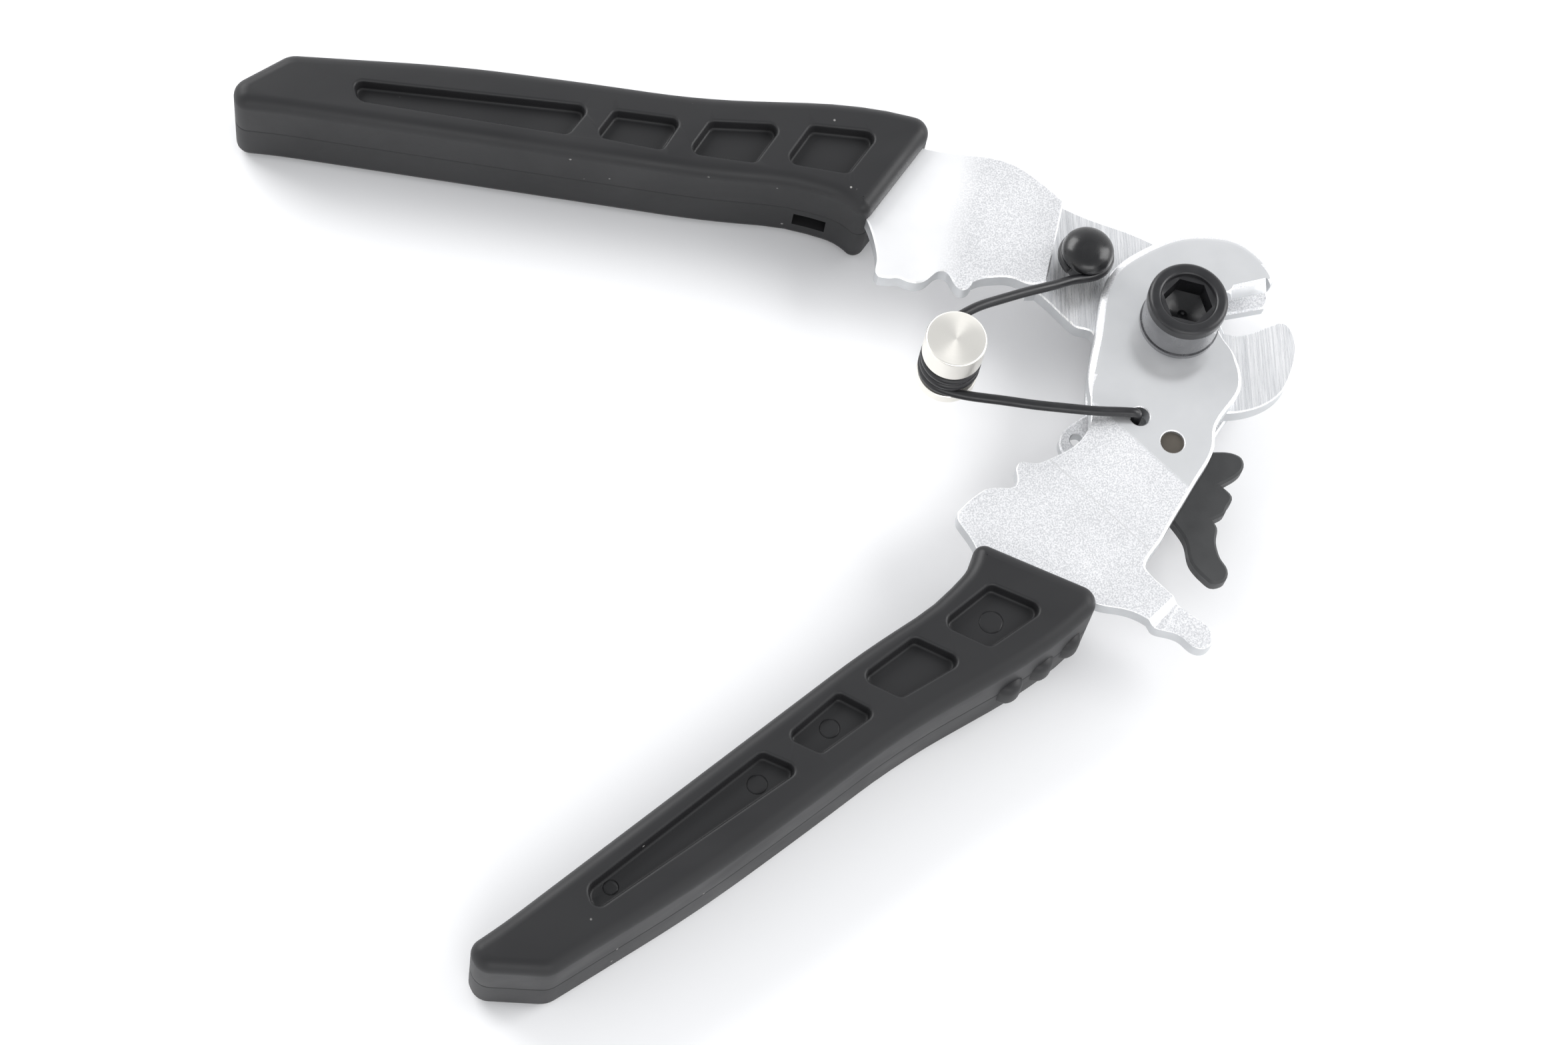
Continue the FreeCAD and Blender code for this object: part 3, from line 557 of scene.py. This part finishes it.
class Shell:
    """Gathers rings of points and the faces between them, then becomes one mesh object."""

    def __init__(self, arm):
        self.arm = arm
        self.points = []
        self.faces = []

    def ring(self, outline, levels):
        """Adds an outline at one level, or with a level for each point."""
        first = len(self.points)
        levels = [levels] * len(outline) if np.isscalar(levels) else levels
        self.points += [(along, out, level) for (along, out), level in zip(outline, levels)]
        return list(range(first, len(self.points)))

    def stack(self, rings):
        """Joins each ring to the next one by a band of faces."""
        count = len(rings[0])
        for above, below in zip(rings, rings[1:]):
            for k in range(count):
                after = (k + 1) % count
                self.faces.append((above[k], below[k], below[after], above[after]))

    def cap(self, rings):
        """Fills the area between an outer ring and the rings of any convex holes in it."""
        order = [index for ring in rings for index in ring]
        holes = [set(ring) for ring in rings[1:]]
        slot = {index: k for k, index in enumerate(order)}
        flat = [Vector(self.points[index][:2]) for index in order]
        edges = []
        for ring in rings:
            edges += [(slot[a], slot[b]) for a, b in zip(ring, ring[1:] + ring[:1])]
        result = delaunay_2d_cdt(flat, edges, [], 1, 1e-6)
        level = self.points[order[0]][2]
        corners = []
        for place, group in zip(result[0], result[3]):
            if group:
                corners.append(order[group[0]])
            else:
                corners.append(len(self.points))
                self.points.append((place.x, place.y, level))
        for face in result[2]:
            face = [corners[k] for k in face]
            if not any(hole.issuperset(face) for hole in holes):
                self.faces.append(tuple(face))

    def mesh(self, name):
        mesh = bpy.data.meshes.new(name)
        mesh.from_pydata([in_row(self.arm, *point) for point in self.points], [], self.faces)
        turn_outwards(mesh)
        return mesh

    def build(self, name, material, sharp=SHARP, cutter=None):
        mesh = self.mesh(name)
        if cutter:
            mesh = carved(mesh, cutter.mesh(name + "_cutter"))
        return finish_mesh(name, mesh, material, sharp)


def turn_outwards(mesh):
    work = bmesh.new()
    work.from_mesh(mesh)
    bmesh.ops.remove_doubles(work, verts=work.verts, dist=1e-7)
    bmesh.ops.recalc_face_normals(work, faces=work.faces)
    work.to_mesh(mesh)
    work.free()


def carved(mesh, cutter_mesh):
    """The mesh with the cutter's volume taken out."""
    block = bpy.data.objects.new("block", mesh)
    cutter = bpy.data.objects.new("cutter", cutter_mesh)
    for part in (block, cutter):
        bpy.context.scene.collection.objects.link(part)
    cut = block.modifiers.new("cut", "BOOLEAN")
    cut.operation = "DIFFERENCE"
    cut.solver = "EXACT"
    cut.object = cutter
    result = bpy.data.meshes.new_from_object(block.evaluated_get(bpy.context.evaluated_depsgraph_get()))
    for part in (block, cutter):
        bpy.data.objects.remove(part)
    return result


def finish_mesh(name, mesh, material, sharp):
    """Smooths all but the sharp edges and links the piece."""
    turn_outwards(mesh)
    mesh.shade_smooth()
    mesh.set_sharp_from_angle(angle=math.radians(sharp))
    mesh.materials.clear()
    mesh.materials.append(material)
    piece = bpy.data.objects.new(name, mesh)
    bpy.context.scene.collection.objects.link(piece)
    weigh = piece.modifiers.new("even_normals", "WEIGHTED_NORMAL")
    weigh.keep_sharp = True
    weigh.weight = 80
    return piece


def circle(along, out, radius, count=40):
    points = []
    for k in range(count):
        angle = 2 * math.pi * k / count
        points.append((along + radius * math.cos(angle), out + radius * math.sin(angle)))
    return points


def bore(shell, place, radius, top, bottom, top_rim=HOLE_RIM):
    """A hole with softened rims. Returns the rings of its two mouths."""
    mouth = shell.ring(circle(*place, radius + top_rim), top)
    wall_top = shell.ring(circle(*place, radius), top - top_rim)
    wall_foot = shell.ring(circle(*place, radius), bottom + HOLE_RIM)
    foot = shell.ring(circle(*place, radius + HOLE_RIM), bottom)
    shell.stack([mouth, wall_top, wall_foot, foot])
    return mouth, foot


def plate(name, arm, outline, holes, top, bottom, material, rim=RIM):
    """A flat plate with softened rims. Each hole is (place, radius)."""
    shell = Shell(arm)
    face_ring = shell.ring(inset(outline, rim), top)
    halfway = shell.ring(inset(outline, rim * 0.35), top - rim * 0.62)
    edge_ring = shell.ring(outline, top - rim)
    wall_ring = shell.ring(outline, bottom + RIM)
    foot_ring = shell.ring(inset(outline, RIM), bottom)
    shell.stack([face_ring, halfway, edge_ring, wall_ring, foot_ring])
    mouths = [bore(shell, place, radius, top, bottom) for place, radius in holes]
    shell.cap([face_ring] + [mouth for mouth, _ in mouths])
    shell.cap([foot_ring] + [foot for _, foot in mouths])
    return shell.build(name, material)


def turned(name, arm, axis, rings, material, count=72, sharp=SHARP):
    """A turned solid. Each ring is (radius, height); a radius may be a function of the angle."""
    shell = Shell(MIDDLE)
    x, y, _ = in_row(arm, *axis, 0)
    made = []
    for radius, height in rings:
        outline = []
        for k in range(count):
            angle = 2 * math.pi * k / count
            reach = radius(angle) if callable(radius) else radius
            outline.append((x / MM + reach * math.cos(angle), y / MM + reach * math.sin(angle)))
        made.append(shell.ring(outline, height))
    shell.stack(made)
    for end in (made[0], made[-1]):
        shell.faces.append(tuple(end))
    return shell.build(name, material, sharp)


def arc_rings(radius, height, size, start, end, steps=5):
    """Rings that round an edge: centre (radius, height), from one angle to another, in degrees."""
    rings = []
    for step in range(steps + 1):
        angle = math.radians(start + (end - start) * step / steps)
        rings.append((radius + size * math.cos(angle), height + size * math.sin(angle)))
    return rings


def hexagon(across_flats):
    def reach(angle):
        from_flat = (angle + math.pi / 6) % (math.pi / 3) - math.pi / 6
        return across_flats / 2 / math.cos(from_flat)
    return reach


# ------------------------------------------------------------------ grips

GRIP_TOP = 3.5
GRIP_BOTTOM = -13.9
GRIP_ROUND = 2.2
POCKET_DEPTH = 2.2
WINDOW_POCKET_DEPTH = 5.5
POCKET_RIM = 0.55
POCKET_DRAFT = 0.12
POCKET_FILLET = 0.45
SEAM_HEIGHT = -5.15
SEAM_HALF_WIDTH = 0.2
SEAM_DEPTH = 0.14
WINDOW_OUTLINE = [(59.5, 4.0), (65.0, 4.0), (65.0, 13.0), (59.5, 13.0)]
WINDOW_TOP = -6.7
WINDOW_FOOT = -10.0
# A nub is turned: (radius, height) from its top to its foot.
NUB_RINGS = [
    (0.05, -3.0), (1.1, -3.08), (1.8, -3.35), (2.2, -3.85), (2.38, -4.6), (2.4, -6.0), (2.38, -7.4),
    (2.2, -8.15), (1.8, -8.65), (1.1, -8.92), (0.05, -9.0),
]
EJECTOR_MARKS = {
    "long": [(107.0, 8.6, 1.7), (134.5, 4.9, 1.3)],
    "near_long": [(92.5, 9.9, 1.7)],
    "head": [(61.5, 15.0, 2.0)],
}


def quarter(steps):
    """(inset, drop) pairs round a quarter circle of radius 1, from the flat to the wall."""
    angles = [math.pi / 2 * k / steps for k in range(steps + 1)]
    return [(1 - math.sin(angle), 1 - math.cos(angle)) for angle in angles]


def sink_pocket(shell, corners, face, depth, facing, marks=()):
    """A pocket with rounded rims. Returns the ring of its mouth in the face."""
    wall = rounded(corners)
    rings = []
    for share, drop in quarter(4):
        rings.append(shell.ring(inset(wall, -POCKET_RIM * share), face - facing * POCKET_RIM * drop))
    floor = face - facing * depth
    for share, drop in reversed(quarter(3)):
        foot = inset(wall, POCKET_DRAFT + POCKET_FILLET * share)
        rings.append(shell.ring(foot, floor + facing * POCKET_FILLET * drop))
    shell.stack(rings)
    floor_rings = [rings[-1]]
    for along, out, radius in marks:
        edge = shell.ring(circle(along, out, radius, 28), floor)
        groove = shell.ring(circle(along, out, radius - 0.13, 28), floor - facing * 0.14)
        disc = shell.ring(circle(along, out, radius - 0.28, 28), floor - facing * 0.02)
        shell.stack([edge, groove, disc])
        shell.cap([disc])
        floor_rings.append(edge)
    shell.cap(floor_rings)
    return rings[0]


def add_grip(name, arm, body, material, marked):
    """A moulded grip: rounded rims, mould seam, pockets on both faces, side window and three nubs."""
    outline = rounded(GRIP_CORNERS)
    shell = Shell(arm)
    rings = []
    for share, drop in quarter(6):
        rings.append(shell.ring(inset(outline, GRIP_ROUND * share), GRIP_TOP - GRIP_ROUND * drop))
    for rise, sunk in ((SEAM_HALF_WIDTH, 0.0), (0.0, SEAM_DEPTH), (-SEAM_HALF_WIDTH, 0.0)):
        rings.append(shell.ring(inset(outline, sunk), SEAM_HEIGHT + rise))
    for share, drop in reversed(quarter(6)):
        rings.append(shell.ring(inset(outline, GRIP_ROUND * share), GRIP_BOTTOM + GRIP_ROUND * drop))
    shell.stack(rings)
    upper = [rings[0]]
    under = [rings[-1]]
    for pocket, corners in GRIP_POCKETS.items():
        marks = EJECTOR_MARKS.get(pocket, ()) if marked else ()
        upper.append(sink_pocket(shell, corners, GRIP_TOP, POCKET_DEPTH, 1, marks))
        depth = WINDOW_POCKET_DEPTH if pocket == "head" else POCKET_DEPTH
        under.append(sink_pocket(shell, corners, GRIP_BOTTOM, depth, -1))
    shell.cap(upper)
    shell.cap(under)
    cutter = Shell(arm)
    cutter.stack([cutter.ring(WINDOW_OUTLINE, WINDOW_TOP), cutter.ring(WINDOW_OUTLINE, WINDOW_FOOT)])
    cutter.faces += [(0, 1, 2, 3), (7, 6, 5, 4)]
    piece = shell.build(name, material, 40.0, cutter)
    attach(piece, body)
    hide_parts(name)
    for number, centre in enumerate(NUB_CENTRES):
        nub = turned("%s_nub_%d" % (name, number + 1), arm, centre, NUB_RINGS, material, 36)
        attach(nub, body)


# ------------------------------------------------------------------ plates and lever

LOWER_THICK = 3.0
UPPER_THICK = 3.2
STEP_TOP = -3.0
BLADE_TOP = -3.08
BLADE_FOOT = -6.28
BACK_TOP = -6.36
BACK_FOOT = -8.6
LEVER_TOP = -3.35
LEVER_FOOT = -5.85
SHANK_HOLE = 4.05
SLEEVE_HOLE = 5.55
SPRING_HOLE_RADIUS = 1.65
PIN_HOLE = 1.95
LEVER_BORE = 2.0
EAR_HOLE_RADIUS = 1.1
TOP_HOLE_RIM = 0.16
TAB_FOLD = 31.6
TAB_DROP = 1.5
TAB_SLOPE = 1.1
TAB_MIDDLE = 39.3


def tab_sag(out):
    """The small tab at the outer edge is joggled down over about a millimetre."""
    return -TAB_DROP * min(1.0, max(0.0, (out - TAB_FOLD) / TAB_SLOPE))


def finish_piece(piece, body, node):
    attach(piece, body)
    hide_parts(node)


# The top rim of the lower plate is (width, drop, flatness), and it varies round the outline.
JAW_EDGE = ((-11.2, 2.6), (-16.45, 5.6))
JAW_NOSE = (-16.9, 5.4)
HEAD_END = 20.4
NARROW_RIM = (0.2, 0.16, 0.3)
HEAD_RIM = (1.75, 0.75, 0.0)
JAW_GRIND = (1.33, 2.75, 1.0)
OUTER_RIM = (0.55, 0.4, 0.0)
FOOT_RIM = 0.2
STEEP = 0.3
FLAT = 0.995


def rim_of(along, out):
    """(width, drop, flatness) of the top rim at a point of the lower plate's outline."""
    (x0, y0), (x1, y1) = JAW_EDGE
    share = ((along - x0) * (x1 - x0) + (out - y0) * (y1 - y0)) / ((x1 - x0) ** 2 + (y1 - y0) ** 2)
    off = math.hypot(along - x0 - share * (x1 - x0), out - y0 - share * (y1 - y0))
    if off < 0.05 and -0.01 < share < 1.01:
        return JAW_GRIND
    in_throat = -13.2 < along < -3 and out > 0.3
    if out < 5.7 and along < HEAD_END and not in_throat:
        from_nose = math.hypot(along - JAW_NOSE[0], out - JAW_NOSE[1])
        round_head = min(1.0, (HEAD_END - along) / 3.5, 0.15 + from_nose / 6.0)
        return tuple(narrow + (wide - narrow) * round_head for narrow, wide in zip(NARROW_RIM, HEAD_RIM))
    on_outer_edge = 10.0 < out < 26.0 and -2.5 < along < 36.4
    if on_outer_edge:
        return OUTER_RIM
    return NARROW_RIM


def add_lower_plate(material, rim_highlight_material, wall_shade_material):
    """The lower arm's plate: wide round rim at the jaw, ground jaw edge, tab bent down, three holes."""
    outline = traced(LOWER_PLATE)
    rims = np.array([rim_of(along, out) for along, out in outline])
    for _ in range(3):
        calm = (np.roll(rims, 1, axis=0) + rims * 2 + np.roll(rims, -1, axis=0)) / 4
        rims = np.where(rims[:, 2:] > 0.9, rims, calm)
    widths, drops, flats = rims.T
    shell = Shell(LOWER)

    def ring(inset_by, levels):
        points = inset(outline, inset_by)
        return shell.ring(points, [level + tab_sag(point[1]) for point, level in zip(points, levels)])

    flush = np.zeros(len(outline))
    rings = [ring(widths, flush)]
    for step in (0.35, 0.65, 0.88):
        round_drop = 1 - math.cos(math.asin(step))
        rings.append(ring(widths * (1 - step), -drops * (flats * step + (1 - flats) * round_drop)))
    rings.append(ring(0.0, -drops))
    rings.append(ring(0.0, flush - LOWER_THICK + FOOT_RIM))
    rings.append(ring(FOOT_RIM, flush - LOWER_THICK))
    shell.stack(rings)
    top_rings = [rings[0]]
    foot_rings = [rings[-1]]
    for place, radius in ((PIVOT, SHANK_HOLE), (SPRING_HOLE, SPRING_HOLE_RADIUS), (LEVER_PIN, PIN_HOLE)):
        mouth, foot = bore(shell, place, radius, 0.0, -LOWER_THICK, TOP_HOLE_RIM)
        top_rings.append(mouth)
        foot_rings.append(foot)
    low_far, low_near = crossing(outline, TAB_FOLD)
    high_far, high_near = crossing(outline, TAB_FOLD + TAB_SLOPE)
    for edge, *mouths in (top_rings, foot_rings):
        shell.cap([edge[low_near:] + edge[:low_far + 1]] + mouths)
        shell.cap([edge[high_far:high_near + 1]])
        shell.faces.append(tuple(edge[low_far:high_far + 1] + edge[high_near:low_near + 1]))
    piece = shell.build("lower_arm_plate", material, 24.0)
    piece.data.materials.append(rim_highlight_material)
    # Painted highlight: sloped faces of the top rim take a lighter copy of the zinc, as where the rounded
    # edge catches the light.
    for face in piece.data.polygons:
        if STEEP < face.normal.z < FLAT and face.center.z > (ARM_TOP - 1.0) * MM:
            face.material_index = 1
    paint_wall_shade(piece, wall_shade_material)
    finish_piece(piece, "lower_arm", "lower_arm_plate")


def paint_wall_shade(piece, material):
    """Side walls of a plate get a greyer copy of the metal: painted shade, picked by the way each face
    points.
    """
    piece.data.materials.append(material)
    for face in piece.data.polygons:
        if abs(face.normal.z) < STEEP:
            face.material_index = len(piece.data.materials) - 1


def crossing(outline, level):
    """Places in the outline of the two points nearest to where a line across the tab meets it."""
    far = [(abs(out - level), k) for k, (along, out) in enumerate(outline) if along > TAB_MIDDLE]
    near = [(abs(out - level), k) for k, (along, out) in enumerate(outline) if along <= TAB_MIDDLE]
    return min(far)[1], min(near)[1]


def add_plates(paints):
    """All the flat pieces. The upper arm is its plate, the blade below it and the step between them."""
    add_lower_plate(paints["lower"], paints["rim"], paints["wall"])
    back_holes = [(PIVOT, SHANK_HOLE), (LEVER_PIN, PIN_HOLE), (EAR_HOLE, EAR_HOLE_RADIUS)]
    back = plate("back_plate", LOWER, traced(BACK_PLATE), back_holes, BACK_TOP, BACK_FOOT,
                 paints["back"], 0.3)
    finish_piece(back, "lower_arm", "back_plate")
    upper = plate("upper_arm_plate", UPPER, traced(UPPER_PLATE), [], 0.0, -UPPER_THICK, paints["upper"], 0.25)
    finish_piece(upper, "upper_arm", "upper_arm_plate")
    block = plate("upper_arm_block", UPPER, STEP_BLOCK, [], STEP_TOP, BLADE_FOOT, paints["blade"], 0.1)
    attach(block, "upper_arm")
    blade_holes = [(PIVOT, SLEEVE_HOLE), (POST, POST_SHANK)]
    blade = plate("upper_arm_blade", UPPER, traced(BLADE), blade_holes, BLADE_TOP, BLADE_FOOT,
                  paints["blade"], 0.22)
    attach(blade, "upper_arm")
    for piece in (back, upper, block, blade):
        paint_wall_shade(piece, paints["wall"])
    lever = plate("lock_lever", LOWER, traced(LEVER), [(LEVER_PIN, LEVER_BORE)], LEVER_TOP, LEVER_FOOT,
                  paints["lever"], 0.4)
    finish_piece(lever, "lock_lever", "lock_lever")


# ------------------------------------------------------------------ turned pieces
# Profiles are (radius, height) pairs. They begin and end close to the axis, at CORE.

CORE = 0.02
SOCKET_FLATS = 7.0
SCREW_RIM_FROM = 6.42
SOCKET_FROM = 2.9
SOCKET_WITHIN = 4.5
POST_SHANK = 1.9
POST_NECK = 2.5
POST_EDGE = 3.9
DOME_ANGLES = (88, 80, 71, 62, 52, 42, 32, 22, 12, 5, 0.3)
SPOOL_RADIUS = 4.65
SPOOL_STEM = 1.8
SPOOL_EDGE = 0.25


def add_screw(paints):
    """The pivot screw: satin grey side, black rolled rim, hexagon socket with a pointed bottom."""
    bottom = 0.8
    top = 8.8
    head = 6.5
    socket = hexagon(SOCKET_FLATS)
    rings = [(CORE, -ARM_TOP), (3.6, -ARM_TOP), (4.0, -13.5), (4.0, bottom), (head - 0.45, bottom),
             (head - 0.2, bottom + 0.25), (head - 0.2, 6.4), (head - 0.12, 6.55), (head, 6.7)]
    rings += arc_rings(head - 0.8, top - 0.8, 0.8, 0, 90, 6)
    rings += arc_rings(4.95, top - 0.55, 0.55, 90, 180, 5)
    rings += [(4.35, top - 0.9), (socket, top - 1.0), (socket, 4.2), (2.9, 3.9), (0.8, 3.0), (0.6, 3.1),
              (0.3, 3.5), (CORE, 3.6)]
    screw = turned("pivot_screw", LOWER, PIVOT, rings, paints["screw_side"], 96, 28.0)
    screw.data.materials.append(paints["screw_top"])
    for face in screw.data.polygons:
        height = face.center.z / MM - ARM_TOP
        off_axis = math.hypot(face.center.x, face.center.y) / MM
        if height > SCREW_RIM_FROM or (height > SOCKET_FROM and off_axis < SOCKET_WITHIN):
            face.material_index = 1
    finish_piece(screw, "lower_arm", "pivot_screw")


def add_post(paints):
    """The spring post: shank in the blade, neck inside the spring's loop and domed head."""
    rings = [(CORE, -6.2), (POST_SHANK, -6.2), (POST_SHANK, BLADE_TOP), (POST_NECK, BLADE_TOP + 0.02),
             (POST_NECK, 2.35), (POST_EDGE, 2.36)]
    rings += arc_rings(POST_EDGE, 2.75, 0.39, -90, 0, 4)
    rings += [(4.3 * math.sin(math.radians(angle)), 2.8 + 2.38 * math.cos(math.radians(angle)))
              for angle in DOME_ANGLES]
    post = turned("spring_post", UPPER, POST, rings, paints["post"], 64, 30.0)
    finish_piece(post, "upper_arm", "spring_post")


def add_spool(paints):
    """The spool: a cap with the barrel and stem inside the coil, and a base flange on the stem."""
    foot = 0.3
    cap = [(CORE, foot), (SPOOL_STEM, foot), (SPOOL_STEM, 2.3), (3.05, 2.3), (3.05, 8.4), (SPOOL_RADIUS, 8.4)]
    cap += arc_rings(SPOOL_RADIUS, 8.65, SPOOL_EDGE, -90, 0, 3)
    cap += arc_rings(4.6, 13.0, 0.3, 0, 90, 4)
    cap += [(3.0, 13.3), (0.7, 13.28), (0.35, 13.24), (CORE, 13.24)]
    spool = turned("spool_cap", MIDDLE, SPOOL, cap, paints["spool"], 96, 28.0)
    finish_piece(spool, "spool", "spool_cap")
    base = [(1.82, foot)] + arc_rings(SPOOL_RADIUS, 0.55, SPOOL_EDGE, -90, 0, 3)
    base += arc_rings(SPOOL_RADIUS, 2.1, SPOOL_EDGE, 0, 90, 3) + [(1.82, 2.35)]
    flange = turned("spool_base", MIDDLE, SPOOL, base, paints["spool"], 96, 28.0)
    finish_piece(flange, "spool", "spool_base")


# ------------------------------------------------------------------ spring

# Radii of the wire, the coil, the bend into the plate and the loop round the post.
WIRE = 0.8
COIL = 4.15
BEND = 1.0
LOOP = 3.85
PITCH = 1.75
COIL_START = 3.3
COIL_STEP = math.radians(7)
JOINS_COIL = math.radians(-113.0)
LEAVES_COIL = math.radians(122.0)
LOOP_START = math.radians(-80.0)
LOOP_STEP = math.radians(6)
LOOP_HEIGHT = 1.15
WIRE_END = -2.9
BEND_RISE = 0.15
BEND_SHIFT = 0.45
BEND_HEADING = math.radians(162.5)
END_RIM = 0.12
END_SHARE = 0.82
# Points that the two legs pass through, in the row frame.
LOWER_LEG = [(-17.55, -12.8, 15.4), (-22.9, -11.15, 15.8), (-28.3, -9.35, 16.2), (-33.6, -7.35, 16.6)]
UPPER_LEG = [(-36.6, 6.4, 21.2), (-33.4, 7.45, 20.8), (-29.6, 8.25, 19.9), (-25.8, 8.9, 19.0),
             (-22.1, 9.45, 18.1), (-18.2, 10.0, 17.1), (-14.8, 10.6, 16.1)]


def heading(angle):
    return np.array((math.cos(angle), math.sin(angle), 0.0))


def spring_path():
    """Centre line of the whole spring, in the row frame: hole, lower leg, coil, upper leg, loop."""
    centre = np.array((*SPOOL, ARM_TOP + COIL_START))
    hole = np.array(in_row(LOWER, *SPRING_HOLE, 0.0)) / MM
    post = np.array(in_row(UPPER, *POST, 0.0)) / MM
    lift = np.array((0.0, 0.0, 1.0))
    coil = []
    wrap = (JOINS_COIL - LEAVES_COIL) % (2 * math.pi) + 4 * math.pi
    for step in range(int(wrap / COIL_STEP) + 1):
        turn = step * COIL_STEP
        coil.append(centre + heading(JOINS_COIL - turn) * COIL + lift * PITCH * turn / (2 * math.pi))
    loop = []
    for step in range(49):
        loop.append(post + heading(LOOP_START + LOOP_STEP * step) * LOOP + lift * LOOP_HEIGHT)
    back = heading(BEND_HEADING)
    hole = hole + back * BEND_SHIFT
    elbow = []
    for angle in np.radians(range(0, 91, 15)):
        rise = BEND_RISE + BEND * math.sin(angle)
        elbow.append(hole + lift * rise + back * BEND * (1 - math.cos(angle)))
    leg = [elbow[-1], elbow[-1] + back * 1.3] + LOWER_LEG
    path = [hole + lift * height for height in (WIRE_END, -1.6, -0.6)] + elbow[:-1]
    path += smooth([tuple(knot) for knot in leg + coil[1:8:3]])
    path += coil[8:-8]
    path += smooth([tuple(knot) for knot in coil[-8:-1:3] + UPPER_LEG + loop[:7:3]])
    path += loop[7:]
    return np.array(path)


def sweep(name, path, radius, material, sides=14):
    """A round wire along a path that sets out upright, its ends a little rounded."""
    tangents = np.gradient(path, axis=0)
    tangents /= np.linalg.norm(tangents, axis=1)[:, None]
    side = np.array((1.0, 0.0, 0.0))
    stations = [(path[0] - tangents[0] * END_RIM, tangents[0], radius * END_SHARE)]
    stations += [(point, tangent, radius) for point, tangent in zip(path, tangents)]
    stations.append((path[-1] + tangents[-1] * END_RIM, tangents[-1], radius * END_SHARE))
    points = []
    faces = []
    for point, tangent, reach in stations:
        side = side - tangent * (side @ tangent)
        side /= np.linalg.norm(side)
        up = np.cross(tangent, side)
        for k in range(sides):
            angle = 2 * math.pi * k / sides
            points.append(tuple((point + reach * (math.cos(angle) * side + math.sin(angle) * up)) * MM))
    for row in range(len(stations) - 1):
        for k in range(sides):
            after = (k + 1) % sides
            low = row * sides
            faces.append((low + k, low + after, low + sides + after, low + sides + k))
    faces.append(tuple(range(sides)))
    faces.append(tuple(range((len(stations) - 1) * sides, len(stations) * sides)))
    mesh = bpy.data.meshes.new(name)
    mesh.from_pydata(points, [], faces)
    return finish_mesh(name, mesh, material, 50.0)


def add_spring(paints):
    """One wire for the whole spring, left in the row frame."""
    wire = sweep("return_spring", spring_path(), WIRE, paints["wire"])
    wire.modifiers.clear()
    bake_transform(wire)
    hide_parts("spring_lower_leg", "spring_upper_leg")


# ------------------------------------------------------------------ put together

def paint_cad_nodes(paints):
    """The small CAD pieces that stay as they are get their own finish."""
    finishes = {
        "pivot_washer": "screw_side",
        "pivot_sleeve": "plain",
        "pivot_nut": "screw_side",
        "lever_pin": "pin",
        "lever_washer": "plain",
    }
    for node, finish in finishes.items():
        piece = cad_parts[node]
        piece.data.materials.clear()
        piece.data.materials.append(paints[finish])


def make_paints():
    return {
        "grip": grip_plastic(),
        "lower": bright_plate("lower_plate_zinc", LOWER, smooth_until=20.8, line_at=33.5),
        # A lighter copy of the zinc for the lower plate's rim faces: painted highlight.
        "rim": bright_plate("rim_zinc_highlight", LOWER, tint=1.14),
        # The upper plate whitens far from the pivot: a painted reflection of a softbox.
        "upper": bright_plate("upper_plate_zinc", UPPER, glare_from=38.0),
        # Greyer metal for the plates' side walls: painted shade.
        "wall": cloudy("painted_wall_shade", (0.56, 0.57, 0.58), 0.42, 1500, 0.02, 0.9, 1.25),
        "back": bright_plate("back_plate_zinc", LOWER),
        "blade": brushed_blade(),
        "lever": cloudy("lever_black", (0.021, 0.0215, 0.022), 0.5, 1500, 0.02),
        "screw_top": cloudy("screw_black", (0.008, 0.008, 0.009), 0.34, 1900, 0.006),
        "screw_side": cloudy("screw_grey", (0.19, 0.19, 0.195), 0.22, 1700, 0.01, 1.0),
        "post": cloudy("post_black", (0.005, 0.005, 0.0055), 0.26, 1300, 0.008),
        "wire": cloudy("wire_black", (0.006, 0.006, 0.007), 0.36, 1800, 0.01),
        "spool": turned_steel(SPOOL),
        "plain": cloudy("plain_steel", (0.42, 0.42, 0.43), 0.35, 1200, 0.01, 0.9),
        "pin": cloudy("pin_grey", (0.07, 0.062, 0.052), 0.45, 1200, 0.015, 0.6),
    }


add_camera()
add_floor()
add_world()
add_softbox("back_light", (-0.45, 0.75, 0.6), (0.7, 0.5), 6.5)
add_softbox("right_light", (0.85, -0.1, 0.6), (0.6, 0.7), 6.5)
add_softbox("front_light", (-0.2, -0.9, 0.55), (0.8, 0.4), 2.6)

paints = make_paints()
add_grip("lower_grip", LOWER, "lower_arm", paints["grip"], True)
add_grip("upper_grip", UPPER, "upper_arm", paints["grip"], False)
add_plates(paints)
add_screw(paints)
add_post(paints)
add_spool(paints)
add_spring(paints)
paint_cad_nodes(paints)
